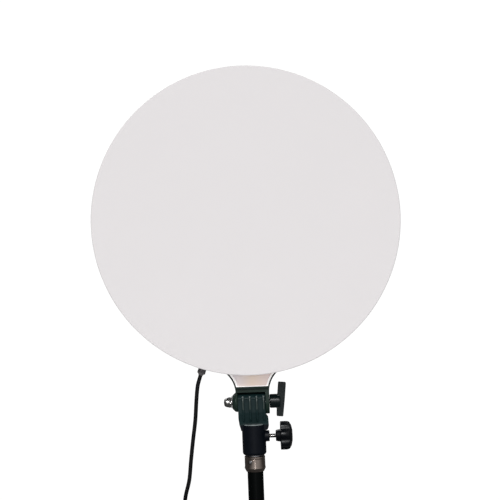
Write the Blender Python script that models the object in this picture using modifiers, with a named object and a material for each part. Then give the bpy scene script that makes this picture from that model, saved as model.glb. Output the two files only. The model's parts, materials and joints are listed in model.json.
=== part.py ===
"""Round LED soft light on a tilt head, with the top section of its stand and its power lead.

Metres, +Z up. The light faces -Y. The origin is the centre of the stand section's lower end.
"""

import math

import bmesh
import bpy
from mathutils import Matrix, Vector

MM = 0.001
TURN = 2 * math.pi

# Clearances
SEAT_GAP = 0.3 * MM
BORE_GAP = 0.35 * MM

# How far a cutter runs past the face that it cuts, and a joined shape into its neighbour
CUT_REACH = 3 * MM
JOIN_SINK = 0.5 * MM

# Roundness of turned and drilled shapes, in sides
FINE_SIDES = 48
ROUND_SIDES = 24
SMALL_SIDES = 16
SCREW_SIDES = 10

# Stand section
RISER_RADIUS = 9.5 * MM
RISER_WALL = 1.2 * MM
RISER_TOP_Z = 288 * MM
BUSH_RADIUS = 10.7 * MM
BUSH_FLANGE = 6 * MM
BUSH_PLUG_LENGTH = 22 * MM
BUSH_PLUG_CHAMFER = 1 * MM
BUSH_EDGE = 0.8 * MM
COLLAR_RADIUS = 12.3 * MM
COLLAR_BOTTOM_Z = RISER_TOP_Z - 7.5 * MM
COLLAR_TOP_Z = RISER_TOP_Z + 11 * MM
COLLAR_TAPER = 5.5 * MM
COLLAR_FLARE = 0.4 * MM
COLLAR_EDGE = 0.7 * MM
COLLAR_LIP = 0.6 * MM
COLLAR_SCREW_RADIUS = 2 * MM
COLLAR_SCREW_Z = RISER_TOP_Z + 4.5 * MM
COLLAR_SCREW_ANGLE = math.radians(-119)
SPIGOT_RADIUS = 8 * MM
SPIGOT_CHAMFER = 1.5 * MM
SPIGOT_FLANGE = 6 * MM
SPIGOT_SHANK_LENGTH = 28 * MM
WAIST_RADIUS = SPIGOT_RADIUS - 1 * MM
WAIST_LENGTH = 14 * MM
WAIST_CONE = 1 * MM

# Tilt head
SOCKET_RADIUS = 14.2 * MM
SOCKET_BOTTOM_Z = COLLAR_TOP_Z + 1 * MM
SOCKET_TOP_Z = SOCKET_BOTTOM_Z + 31 * MM
SOCKET_DEPTH = 37 * MM
SOCKET_EDGE = 3.5 * MM
TILT_Z = SOCKET_BOTTOM_Z + 63.5 * MM
BARREL_RADIUS = 11.5 * MM
BARREL_LEFT_X = -17.6 * MM
BARREL_RIGHT_X = 14.9 * MM
SHOULDER_X = 18.2 * MM
RIB_HEIGHT = 0.7 * MM
RIB_WIDTH = 3.2 * MM
RIB_FIRST_X = -11.7 * MM
RIB_PITCH = 8.2 * MM
RIB_COUNT = 4
WASHER_RADIUS = 9.5 * MM
WASHER_THICKNESS = 0.9 * MM

# Tilt bolt, cap nut and lever
BOLT_RADIUS = 3 * MM
BOLT_LEFT_X = -31 * MM
BOLT_RIGHT_X = 29 * MM
CAP_NUT_RADIUS = 5.8 * MM
CAP_NUT_LENGTH = 8.6 * MM
CAP_WASHER_RADIUS = 7 * MM
CAP_WASHER_THICKNESS = 1 * MM
LEVER_HUB_RADIUS = 8.3 * MM
LEVER_HUB_LENGTH = 10 * MM
LEVER_BAR_WIDTH = 9.3 * MM
LEVER_BAR_DEPTH = 10 * MM
LEVER_BAR_LENGTH = 40.5 * MM
LEVER_BAR_RISE = 2 * MM
LEVER_BAR_LEAN = math.radians(6)
LEVER_INSERT_RADIUS = 4.6 * MM

# Socket lock
LOCK_Z = SOCKET_BOTTOM_Z + 22 * MM
LOCK_BOSS_RADIUS = 6.6 * MM
LOCK_BOSS_X = 18.6 * MM
LOCK_BOSS_ROOT = 3.2 * MM
LOCK_SCREW_RADIUS = 2.5 * MM
LOCK_INSERT_RADIUS = 4.3 * MM
KNOB_HUB_X = 25 * MM
KNOB_HUB_RADIUS = 7.7 * MM
KNOB_HUB_LENGTH = 6 * MM
KNOB_RADIUS = 16.4 * MM
KNOB_LOBE_DEPTH = 2.6 * MM
KNOB_LOBES = 7
KNOB_LENGTH = 14.6 * MM
KNOB_BORE_DEPTH = 9 * MM

# Neck, fork and rear housing
FORK_HALF_WIDTH = 20 * MM
FORK_GAP = 0.3 * MM
BRIDGE_BOTTOM_Z = TILT_Z + BARREL_RADIUS + RIB_HEIGHT + 0.4 * MM
BRIDGE_TOP_Z = BRIDGE_BOTTOM_Z + 5.2 * MM
BRIDGE_HALF_DEPTH = 13 * MM
LEFT_EYE_RADIUS = 11.6 * MM
LEFT_BOSS_LENGTH = 4.3 * MM
LEFT_BOSS_TIP_RADIUS = 8.2 * MM
LEFT_BOSS_SIDES = 28
RIGHT_EYE_RADIUS = 14.8 * MM
FLARE_RADIUS = 32 * MM
FLARE_ANGLE = math.radians(52)
HOUSING_HALF_WIDTH = 56 * MM
HOUSING_TOP_Z = TILT_Z + 178.5 * MM
HOUSING_CORNER = 18 * MM
HOUSING_BACK_Y = 16 * MM
HOUSING_WALL = 1.8 * MM
HOUSING_BACK_WALL = 2.4 * MM
HOUSING_EDGE = 1.2 * MM
CAVITY_BOTTOM_Z = BRIDGE_TOP_Z + 1.7 * MM
NECK_COVER_TOP_Z = TILT_Z + 48.5 * MM
NECK_COVER_THICKNESS = 2 * MM
NECK_COVER_RECESS = 0.7 * MM
NECK_COVER_EDGE = 0.5 * MM
PILLAR_RADIUS = 4 * MM
PILLAR_X = 46 * MM
PILLAR_LOW_Z = TILT_Z + 96.5 * MM
PILLAR_HIGH_Z = TILT_Z + 160.5 * MM
SCREW_RADIUS = 1.5 * MM
SCREW_HEAD_RADIUS = 2.9 * MM
SCREW_HEAD_HEIGHT = 1.6 * MM
SCREW_END_GAP = 2 * MM

# Panel. Depths are measured towards the front from the stand's axis.
PANEL_RADIUS = 180 * MM
PANEL_LIFT = 36 * MM
PANEL_CENTRE_Z = TILT_Z + PANEL_LIFT + PANEL_RADIUS
PANEL_FRONT = 48 * MM
PANEL_BACK = 18 * MM
DIFFUSER_WALL = 2 * MM
DIFFUSER_EDGE = 3 * MM
DIFFUSER_INNER_EDGE = 1.4 * MM
DIFFUSER_SKIRT = 15 * MM
REAR_WALL = 2.4 * MM
REAR_EDGE = 6 * MM
REAR_INNER_EDGE = 3 * MM
REAR_LIP_HEIGHT = 4.3 * MM
REAR_LIP_WALL = 1.8 * MM
REAR_LIP_ROOT = 3.5 * MM
REAR_LIP_SLOPE = 1.7 * MM
SHELL_BOSS_HEIGHT = 8 * MM
SHELL_HOLE_FLOOR = 1.4 * MM
GUIDE_RADIUS = PANEL_RADIUS - 10 * MM
GUIDE_THICKNESS = 4 * MM
GUIDE_AIR_GAP = 2 * MM
REFLECTOR_THICKNESS = 0.8 * MM
PLATE_RADIUS = PANEL_RADIUS - 8.5 * MM
PLATE_THICKNESS = 1.5 * MM
FRAME_RING_WALL = 1.5 * MM
FRAME_RING_FLANGE = 10 * MM
FRAME_RING_TOP_GAP = 1.3 * MM
STRIP_THICKNESS = 0.5 * MM
STRIP_HEIGHT = 5 * MM
STRIP_RISE = 0.5 * MM
LED_COUNT = 24
LED_WIDTH = 3 * MM
LED_DEPTH = 1.6 * MM
LED_SINK = 0.25 * MM
RIM_SCREW_COUNT = 6
RIM_BOSS_RADIUS = 4.5 * MM
RIM_SCREW_END_GAP = 0.5 * MM

# Controls on the housing's back
DIAL_X = 27 * MM
DIAL_Z = TILT_Z + 136.5 * MM
DIAL_RADIUS = 11 * MM
DIAL_HEIGHT = 12 * MM
DIAL_FLOAT = 0.8 * MM
POT_WIDTH = 16 * MM
POT_BUSH_RADIUS = 3.5 * MM
POT_BUSH_REACH = 2.4 * MM
POT_SHAFT_SINK = 4 * MM
DIAL_TEETH = 16
DIAL_TOOTH_DEPTH = 0.6 * MM
DIAL_FACE = 2.5 * MM
DIAL_RIM = 3 * MM
DIAL_SKIRT_DEPTH = 3 * MM
DIAL_MARK_LENGTH = 5.5 * MM
DIAL_MARK_WIDTH = 0.9 * MM
DIAL_MARK_DEPTH = 0.5 * MM
SHAFT_RADIUS = 2.4 * MM
BOARD_WIDTH = 84 * MM
BOARD_HEIGHT = 46 * MM
BOARD_THICKNESS = 1.6 * MM
BOARD_Y = 1 * MM
CAPACITOR_PLACES = (
    # x, height above the dials, radius, length
    (-8 * MM, 12 * MM, 4 * MM, 11 * MM),
    (6 * MM, 14 * MM, 3.2 * MM, 9 * MM),
)
CHOKE_SIZE = (12 * MM, 8 * MM, 12 * MM)
CHOKE_X = -28 * MM
CHOKE_DROP = 12 * MM
SWITCH_Z = TILT_Z + 98.5 * MM
SWITCH_WIDTH = 18.6 * MM
SWITCH_HEIGHT = 12.6 * MM
SWITCH_FRONT_Y = 4 * MM
SWITCH_BEZEL = 1.5 * MM
SWITCH_BEZEL_RIM = 1.5 * MM
SWITCH_WELL_DEPTH = 3.7 * MM
ROCKER_WIDTH = 13 * MM
ROCKER_HEIGHT = 8.6 * MM
ROCKER_SIDE_GAP = 0.5 * MM
ROCKER_END_GAP = 0.8 * MM
ROCKER_ANGLE = math.radians(8)

# Low-voltage jack and plug in the panel's rim
JACK_ANGLE = math.radians(18.5)
JACK_DEPTH = 28.4 * MM
JACK_RADIUS = 4 * MM
JACK_BODY_LENGTH = 13 * MM
JACK_BODY_WIDTH = 10 * MM
JACK_BODY_DEPTH = 8.6 * MM
JACK_RING_GAP = 0.4 * MM
PLUG_TIP_RADIUS = 2.7 * MM
PLUG_TIP_LENGTH = 9 * MM
PLUG_TIP_CHAMFER = 0.4 * MM
PLUG_RADIUS = 4.1 * MM
PLUG_LENGTH = 8.6 * MM
PLUG_TAPER = 3 * MM
PLUG_SHOULDER = 0.8 * MM
PLUG_LEAD_LIP = 0.4 * MM

# Power lead
LEAD_RADIUS = 2.3 * MM
LEAD_STEP = 7 * MM
COIL_TURNS = 7.25
COIL_LAYERS = 4
COIL_MID_RADIUS = 25.3 * MM
COIL_PITCH = 2 * LEAD_RADIUS + 0.5 * MM
COIL_CENTRE_Z = 190 * MM
LOOP_POINTS = 24
POLE_GAP = 0.4 * MM
STRAP_WIDTH = 12 * MM
STRAP_THICKNESS = 1.6 * MM

# Mains adapter
ADAPTER_DEPTH = 27 * MM
ADAPTER_WIDTH = 38 * MM
ADAPTER_HEIGHT = 66 * MM
ADAPTER_WALL = 2 * MM
ADAPTER_CORNER = 5 * MM
ADAPTER_EDGE = 2.4 * MM
ADAPTER_CENTRE_Z = 188 * MM
PIN_RADIUS = 2 * MM
PIN_REACH = 19 * MM
PIN_ROOT = 3 * MM
PIN_ROUNDING = 0.8 * MM
PIN_SPACING = 18.6 * MM
PIN_Z = 210 * MM
RELIEF_LENGTH = 14 * MM
RELIEF_RADIUS = 4.2 * MM
RELIEF_NECK_LENGTH = 4 * MM
RELIEF_NECK_DROP = 1 * MM
RELIEF_LEAD_LIP = 0.6 * MM
ADAPTER_BOARD_THICKNESS = 1.6 * MM
ADAPTER_BOARD_SIDE_GAP = 1 * MM
ADAPTER_BOARD_END_GAP = 7 * MM
ADAPTER_BOARD_RISE = 3 * MM
TRANSFORMER_SIZE = (13 * MM, 16 * MM, 16 * MM)
TRANSFORMER_DROP = 8 * MM
STORE_CAPACITOR_RADIUS = 5 * MM
STORE_CAPACITOR_LENGTH = 11 * MM
STORE_CAPACITOR_RISE = 10 * MM

# Colour, roughness and metallic value of each finish
FINISHES = {
    "black_paint": ((0.015, 0.015, 0.017), 0.4, 0.0),
    "nickel": ((0.62, 0.57, 0.52), 0.25, 1.0),
    "steel": ((0.6, 0.6, 0.62), 0.35, 1.0),
    "chrome": ((0.8, 0.8, 0.82), 0.12, 1.0),
    "brass": ((0.7, 0.5, 0.22), 0.35, 1.0),
    "head_plastic": ((0.013, 0.026, 0.026), 0.45, 0.0),
    "knob_plastic": ((0.016, 0.018, 0.02), 0.4, 0.0),
    "shell_plastic": ((0.02, 0.02, 0.022), 0.5, 0.0),
    "pale_plate": ((0.62, 0.54, 0.5), 0.35, 0.0),
    "opal": ((0.8, 0.78, 0.78), 0.5, 0.0),
    "clear_acrylic": ((0.85, 0.9, 0.9), 0.1, 0.0),
    "white_sheet": ((0.85, 0.85, 0.85), 0.6, 0.0),
    "aluminium": ((0.7, 0.7, 0.72), 0.35, 1.0),
    "circuit_green": ((0.03, 0.2, 0.08), 0.5, 0.0),
    "lead_plastic": ((0.02, 0.02, 0.022), 0.55, 0.0),
    "fibre": ((0.3, 0.25, 0.2), 0.7, 0.0),
    "strap_nylon": ((0.03, 0.03, 0.03), 0.8, 0.0),
}

# Rotations that turn an upright shape's own +Z to the named direction
TO_RIGHT = (0, math.pi / 2, 0)
TO_LEFT = (0, -math.pi / 2, 0)
TO_FRONT = (math.pi / 2, 0, 0)
TO_BACK = (-math.pi / 2, 0, 0)
UPRIGHT = (0, 0, 0)


def clear_scene():
    for obj in list(bpy.data.objects):
        bpy.data.objects.remove(obj, do_unlink=True)


def new_collection(name):
    collection = bpy.data.collections.new(name)
    bpy.context.scene.collection.children.link(collection)
    return collection


def finish(name, piece_name):
    """One material for each piece, with the colour of the named finish."""
    colour, roughness, metallic = FINISHES[name]
    material = bpy.data.materials.new(piece_name + "_" + name)
    material.use_nodes = True
    shader = material.node_tree.nodes["Principled BSDF"]
    shader.inputs["Base Color"].default_value = (*colour, 1)
    shader.inputs["Roughness"].default_value = roughness
    shader.inputs["Metallic"].default_value = metallic
    material.diffuse_color = (*colour, 1)
    return material


def put(obj, location, rotation, parent):
    """Places the object in world coordinates, below an unrotated parent."""
    obj.parent = parent
    base = parent.location if parent else Vector((0, 0, 0))
    obj.location = Vector(location) - base
    obj.rotation_euler = rotation


def solid(name, mesh, look, location=(0, 0, 0), rotation=UPRIGHT, parent=None):
    """A piece of the light, in its collection and with its own material."""
    obj = bpy.data.objects.new(name, mesh)
    mesh.name = name
    mesh.materials.clear()
    mesh.materials.append(finish(look, name))
    parts.objects.link(obj)
    put(obj, location, rotation, parent)
    return obj


def helper(name, mesh, location=(0, 0, 0), rotation=UPRIGHT):
    """A shape that only cuts or joins pieces."""
    obj = bpy.data.objects.new(name, mesh)
    obj.hide_render = True
    obj.display_type = "WIRE"
    cutters.objects.link(obj)
    put(obj, location, rotation, None)
    return obj


def combine(obj, other, operation):
    modifier = obj.modifiers.new(other.name, "BOOLEAN")
    modifier.object = other
    modifier.operation = operation
    modifier.solver = "EXACT"


def cut(obj, other):
    combine(obj, other, "DIFFERENCE")


def join(obj, other):
    combine(obj, other, "UNION")


def soften(obj, width, segments=2):
    """Rounds the edges sharper than 40 degrees."""
    modifier = obj.modifiers.new("rounded_edges", "BEVEL")
    modifier.width = width
    modifier.segments = segments
    modifier.limit_method = "ANGLE"
    modifier.angle_limit = math.radians(40)


def smooth(mesh):
    mesh.shade_smooth()
    mesh.set_sharp_from_angle(angle=math.radians(35))


def mesh_from(shape, name):
    mesh = bpy.data.meshes.new(name)
    shape.to_mesh(mesh)
    shape.free()
    smooth(mesh)
    return mesh


def box_mesh(size, name="box"):
    shape = bmesh.new()
    bmesh.ops.create_cube(shape, size=1, matrix=Matrix.Diagonal((*size, 1)))
    return mesh_from(shape, name)


def cone_mesh(low_radius, high_radius, length, sides=ROUND_SIDES, name="cone"):
    """An upright round bar from z = 0 to its length."""
    shape = bmesh.new()
    bmesh.ops.create_cone(
        shape,
        cap_ends=True,
        segments=sides,
        radius1=low_radius,
        radius2=high_radius,
        depth=length,
        matrix=Matrix.Translation((0, 0, length / 2)),
    )
    return mesh_from(shape, name)


def rod_mesh(radius, length, sides=ROUND_SIDES, name="rod"):
    return cone_mesh(radius, radius, length, sides, name)


def turn(obj, sides):
    screw = obj.modifiers.new("turned", "SCREW")
    screw.axis = "Z"
    screw.angle = TURN
    screw.steps = sides
    screw.render_steps = sides
    screw.use_merge_vertices = True
    screw.merge_threshold = 0.00001
    screw.use_smooth_shade = True


def profile_mesh(points, closed, name):
    """A half section in the XZ plane, its outer side running from top to bottom."""
    shape = bmesh.new()
    corners = [shape.verts.new((radius, 0, height)) for radius, height in points]
    for first, second in zip(corners, corners[1:]):
        shape.edges.new((first, second))
    if closed:
        shape.edges.new((corners[-1], corners[0]))
    mesh = bpy.data.meshes.new(name)
    shape.to_mesh(mesh)
    shape.free()
    return mesh


def turned(name, points, look, location, rotation, parent, sides=ROUND_SIDES):
    """A turned piece. A profile that leaves the axis is a closed ring section."""
    closed = points[0][0] > 0
    obj = solid(name, profile_mesh(points, closed, name), look, location, rotation, parent)
    turn(obj, sides)
    return obj


def turned_helper(name, points, location, rotation, sides=ROUND_SIDES):
    obj = helper(name, profile_mesh(points, points[0][0] > 0, name), location, rotation)
    turn(obj, sides)
    return obj


def arc(centre_x, centre_y, radius, start, end, count):
    """Points along an arc, both ends included."""
    steps = [start + (end - start) * index / (count - 1) for index in range(count)]
    return [(centre_x + radius * math.cos(a), centre_y + radius * math.sin(a)) for a in steps]


def outline_mesh(outlines, thickness, name="outline"):
    """A flat plate in the XY plane, centred on it. Later outlines are holes in the first."""
    curve = bpy.data.curves.new(name, "CURVE")
    curve.dimensions = "2D"
    curve.fill_mode = "BOTH"
    curve.extrude = thickness / 2
    for outline in outlines:
        spline = curve.splines.new("POLY")
        spline.points.add(len(outline) - 1)
        for point, (x, y) in zip(spline.points, outline):
            point.co = (x, y, 0, 1)
        spline.use_cyclic_u = True
    guide = bpy.data.objects.new(name, curve)
    cutters.objects.link(guide)
    bpy.context.view_layer.update()
    mesh = bpy.data.meshes.new_from_object(guide.evaluated_get(bpy.context.evaluated_depsgraph_get()))
    bpy.data.objects.remove(guide)
    bpy.data.curves.remove(curve)
    shape = bmesh.new()
    shape.from_mesh(mesh)
    bmesh.ops.remove_doubles(shape, verts=shape.verts, dist=0.00001)
    bmesh.ops.recalc_face_normals(shape, faces=shape.faces)
    if len(outlines) == 1:
        bmesh.ops.dissolve_limit(shape, angle_limit=0.001, verts=shape.verts, edges=shape.edges)
    shape.to_mesh(mesh)
    shape.free()
    smooth(mesh)
    return mesh


def rounded_rectangle(width, height, radius, count=4):
    points = []
    for index, (side_x, side_y) in enumerate(((1, 1), (-1, 1), (-1, -1), (1, -1))):
        start = index * math.pi / 2
        centre_x = side_x * (width / 2 - radius)
        centre_y = side_y * (height / 2 - radius)
        points += arc(centre_x, centre_y, radius, start, start + math.pi / 2, count)
    return points


def axis_marker(name, location):
    """An empty on a joint's axis, which carries the pieces that move about it."""
    marker = bpy.data.objects.new(name, None)
    marker.empty_display_size = 10 * MM
    marker.location = location
    parts.objects.link(marker)
    return marker


# Lead routes: smooth curves through hand-chosen points


def smooth_route(points, step):
    """Points about one step apart along a smooth curve through the given points."""
    points = [Vector(point) for point in points]
    ends = [2 * points[0] - points[1], *points, 2 * points[-1] - points[-2]]
    fine = []
    for before, start, end, after in zip(ends, ends[1:], ends[2:], ends[3:]):
        for index in range(24):
            t = index / 24
            fine.append(
                0.5
                * (
                    2 * start
                    + (end - before) * t
                    + (2 * before - 5 * start + 4 * end - after) * t * t
                    + (3 * start - before - 3 * end + after) * t**3
                )
            )
    fine.append(points[-1])
    total = sum((second - first).length for first, second in zip(fine, fine[1:]))
    count = round(total / step)
    route = [fine[0]]
    walked = 0
    for first, second in zip(fine, fine[1:]):
        reach = (second - first).length
        while len(route) < count and walked + reach >= total * len(route) / count:
            share = (total * len(route) / count - walked) / reach
            route.append(first.lerp(second, share))
        walked += reach
    route.append(fine[-1])
    return route


def tube(name, route, resolution, parent):
    curve = bpy.data.curves.new(name, "CURVE")
    curve.dimensions = "3D"
    curve.bevel_depth = LEAD_RADIUS
    curve.bevel_resolution = resolution
    curve.use_fill_caps = True
    curve.materials.append(finish("lead_plastic", name))
    spline = curve.splines.new("POLY")
    spline.points.add(len(route) - 1)
    base = parent.location
    for point, place in zip(spline.points, route):
        point.co = (*(place - base), 1)
    obj = bpy.data.objects.new(name, curve)
    parts.objects.link(obj)
    put(obj, base, UPRIGHT, parent)
    return obj


# Stand section


def build_riser():
    bottom = BUSH_FLANGE + SEAT_GAP
    inner = RISER_RADIUS - RISER_WALL
    turned(
        "riser_tube",
        [(RISER_RADIUS, RISER_TOP_Z), (RISER_RADIUS, bottom), (inner, bottom), (inner, RISER_TOP_Z)],
        "black_paint",
        (0, 0, 0),
        UPRIGHT,
        None,
    )
    plug = inner - SEAT_GAP
    plug_top = BUSH_FLANGE + BUSH_PLUG_LENGTH
    turned(
        "riser_end_bush",
        [
            (0, plug_top),
            (plug - BUSH_PLUG_CHAMFER, plug_top),
            (plug, plug_top - BUSH_PLUG_CHAMFER),
            (plug, BUSH_FLANGE),
            (BUSH_RADIUS, BUSH_FLANGE),
            (BUSH_RADIUS, BUSH_EDGE),
            (BUSH_RADIUS - BUSH_EDGE, 0),
            (0, 0),
        ],
        "lead_plastic",
        (0, 0, 0),
        UPRIGHT,
        None,
    )


def build_spigot():
    """The stud stands on the tube's top edge, its shank inside the tube."""
    shank = RISER_RADIUS - RISER_WALL - SEAT_GAP
    foot = RISER_TOP_Z + SEAT_GAP
    shoulder = foot + SPIGOT_FLANGE
    top = SOCKET_BOTTOM_Z + SOCKET_DEPTH - SEAT_GAP
    waist_low = LOCK_Z - WAIST_LENGTH / 2
    waist_high = LOCK_Z + WAIST_LENGTH / 2
    shank_end = RISER_TOP_Z - SPIGOT_SHANK_LENGTH
    turned(
        "stand_spigot",
        [
            (0, top),
            (SPIGOT_RADIUS - SPIGOT_CHAMFER, top),
            (SPIGOT_RADIUS, top - SPIGOT_CHAMFER),
            (SPIGOT_RADIUS, waist_high + WAIST_CONE),
            (WAIST_RADIUS, waist_high),
            (WAIST_RADIUS, waist_low),
            (SPIGOT_RADIUS, waist_low - WAIST_CONE),
            (SPIGOT_RADIUS, shoulder),
            (RISER_RADIUS, shoulder),
            (RISER_RADIUS, foot),
            (shank, foot),
            (shank, shank_end),
            (0, shank_end),
        ],
        "steel",
        (0, 0, 0),
        UPRIGHT,
        None,
    )
    inner = RISER_RADIUS + SEAT_GAP
    flare_z = COLLAR_BOTTOM_Z + COLLAR_TAPER
    collar = turned(
        "spigot_collar",
        [
            (COLLAR_RADIUS - COLLAR_EDGE, COLLAR_TOP_Z),
            (COLLAR_RADIUS, COLLAR_TOP_Z - COLLAR_EDGE),
            (COLLAR_RADIUS, flare_z + 5 * COLLAR_FLARE),
            (COLLAR_RADIUS + COLLAR_FLARE, flare_z),
            (inner + COLLAR_LIP, COLLAR_BOTTOM_Z),
            (inner, COLLAR_BOTTOM_Z),
            (inner, shoulder + SEAT_GAP),
            (SPIGOT_RADIUS + SEAT_GAP, shoulder + SEAT_GAP),
            (SPIGOT_RADIUS + SEAT_GAP, COLLAR_TOP_Z),
        ],
        "nickel",
        (0, 0, 0),
        UPRIGHT,
        None,
    )
    outward = Vector((math.cos(COLLAR_SCREW_ANGLE), math.sin(COLLAR_SCREW_ANGLE), 0))
    turn_out = outward.to_track_quat("Z", "Y").to_euler()
    wall = COLLAR_RADIUS - inner
    hole = helper(
        "collar_screw_hole",
        rod_mesh(COLLAR_SCREW_RADIUS + SEAT_GAP, 4 * wall, SMALL_SIDES),
        outward * (inner - wall) + Vector((0, 0, COLLAR_SCREW_Z)),
        turn_out,
    )
    cut(collar, hole)
    head = wall - SEAT_GAP
    turned(
        "collar_set_screw",
        [
            (0, head / 2),
            (COLLAR_SCREW_RADIUS / 2, head / 2),
            (COLLAR_SCREW_RADIUS / 2, head),
            (COLLAR_SCREW_RADIUS, head),
            (COLLAR_SCREW_RADIUS, 0),
            (0, 0),
        ],
        "steel",
        outward * inner + Vector((0, 0, COLLAR_SCREW_Z)),
        turn_out,
        None,
        12,
    )


# Tilt head


def rib_outline():
    """One rib's side view as (y, z - TILT_Z): over the barrel's front, then down the column."""
    outer = BARREL_RADIUS + RIB_HEIGHT
    inner = BARREL_RADIUS - 3 * MM
    crest = arc(0, 0, outer, math.radians(152), math.pi, 4)
    return [
        (-inner * 0.7, inner * 0.3),
        (-BARREL_RADIUS * 0.86, BARREL_RADIUS * 0.49),
        *crest,
        (-outer, -14 * MM),
        (-BARREL_RADIUS + 0.3 * MM, -28 * MM),
        (-inner, -28 * MM),
    ]


def head_outline():
    """The column's front view as (x, z - TILT_Z), from the barrel's axis down to the socket."""
    socket = SOCKET_TOP_Z - TILT_Z
    return [
        (BARREL_LEFT_X, 0),
        (BARREL_LEFT_X, socket + 13.5 * MM),
        (BARREL_LEFT_X + 0.9 * MM, socket + 6 * MM),
        (BARREL_LEFT_X + 2.6 * MM, socket),
        (BARREL_LEFT_X + 2.6 * MM, socket - 1.2 * MM),
        (SHOULDER_X - 2.2 * MM, socket - 1.2 * MM),
        (SHOULDER_X - 0.6 * MM, socket + 1.5 * MM),
        (SHOULDER_X, socket + 4.5 * MM),
        (SHOULDER_X, -RIGHT_EYE_RADIUS - 2 * MM),
        (BARREL_RIGHT_X, -RIGHT_EYE_RADIUS - 0.5 * MM),
        (BARREL_RIGHT_X, 0),
    ]


def build_head_base(pan_axis):
    barrel_length = BARREL_RIGHT_X - BARREL_LEFT_X
    head = solid(
        "head_base",
        rod_mesh(BARREL_RADIUS, barrel_length, 32),
        "head_plastic",
        (BARREL_LEFT_X, 0, TILT_Z),
        TO_RIGHT,
        pan_axis,
    )
    column = helper(
        "head_column",
        outline_mesh([head_outline()], 2 * (BARREL_RADIUS - 0.05 * MM)),
        (0, 0, TILT_Z),
        TO_FRONT,
    )
    join(head, column)
    for index in range(RIB_COUNT):
        x = RIB_FIRST_X + index * RIB_PITCH
        for side, mirror in (("front", 1), ("back", -1)):
            outline = [(mirror * y, z) for y, z in rib_outline()]
            rib = helper(
                f"head_rib_{side}_{index + 1}",
                outline_mesh([outline[::mirror]], RIB_WIDTH),
                (x, 0, TILT_Z),
                (math.pi / 2, 0, math.pi / 2),
            )
            join(head, rib)
    socket = turned_helper(
        "head_socket",
        [
            (0, SOCKET_TOP_Z),
            (SOCKET_RADIUS, SOCKET_TOP_Z),
            (SOCKET_RADIUS, SOCKET_BOTTOM_Z + SOCKET_EDGE),
            (SOCKET_RADIUS - SOCKET_EDGE * 0.3, SOCKET_BOTTOM_Z + SOCKET_EDGE * 0.3),
            (SOCKET_RADIUS - SOCKET_EDGE, SOCKET_BOTTOM_Z),
            (0, SOCKET_BOTTOM_Z),
        ],
        (0, 0, 0),
        UPRIGHT,
    )
    join(head, socket)
    boss = helper(
        "head_lock_boss",
        rod_mesh(LOCK_BOSS_RADIUS, LOCK_BOSS_X - SOCKET_RADIUS + LOCK_BOSS_ROOT),
        (SOCKET_RADIUS - LOCK_BOSS_ROOT, 0, LOCK_Z),
        TO_RIGHT,
    )
    join(head, boss)
    bore = helper(
        "head_spigot_bore",
        rod_mesh(SPIGOT_RADIUS + BORE_GAP, SOCKET_DEPTH + CUT_REACH),
        (0, 0, SOCKET_BOTTOM_Z - CUT_REACH),
    )
    cut(head, bore)
    insert_bore = helper(
        "head_insert_bore",
        rod_mesh(LOCK_INSERT_RADIUS + SEAT_GAP, LOCK_BOSS_X + 2 * CUT_REACH - SPIGOT_RADIUS),
        (SPIGOT_RADIUS - CUT_REACH, 0, LOCK_Z),
        TO_RIGHT,
    )
    cut(head, insert_bore)
    bolt_bore = helper(
        "head_bolt_bore",
        rod_mesh(BOLT_RADIUS + BORE_GAP, barrel_length + 2 * CUT_REACH),
        (BARREL_LEFT_X - CUT_REACH, 0, TILT_Z),
        TO_RIGHT,
    )
    cut(head, bolt_bore)
    seat = WASHER_THICKNESS + SEAT_GAP
    for name, x, way in (("left", BARREL_LEFT_X, TO_RIGHT), ("right", BARREL_RIGHT_X, TO_LEFT)):
        direction = 1 if name == "left" else -1
        recess = helper(
            f"head_{name}_washer_seat",
            rod_mesh(WASHER_RADIUS + SEAT_GAP, seat + CUT_REACH),
            (x - direction * CUT_REACH, 0, TILT_Z),
            way,
        )
        cut(head, recess)
        bore_radius = BOLT_RADIUS + BORE_GAP
        turned(
            f"{name}_friction_washer",
            [
                (WASHER_RADIUS, WASHER_THICKNESS),
                (WASHER_RADIUS, 0),
                (bore_radius, 0),
                (bore_radius, WASHER_THICKNESS),
            ],
            "fibre",
            (x, 0, TILT_Z),
            way,
            pan_axis,
            24,
        )
    insert_start = SPIGOT_RADIUS + BORE_GAP + 1.2 * MM
    turned(
        "lock_insert",
        [
            (LOCK_INSERT_RADIUS, LOCK_BOSS_X - insert_start),
            (LOCK_INSERT_RADIUS, 0),
            (LOCK_SCREW_RADIUS + SEAT_GAP, 0),
            (LOCK_SCREW_RADIUS + SEAT_GAP, LOCK_BOSS_X - insert_start),
        ],
        "brass",
        (insert_start, 0, LOCK_Z),
        TO_RIGHT,
        pan_axis,
        24,
    )


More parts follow.
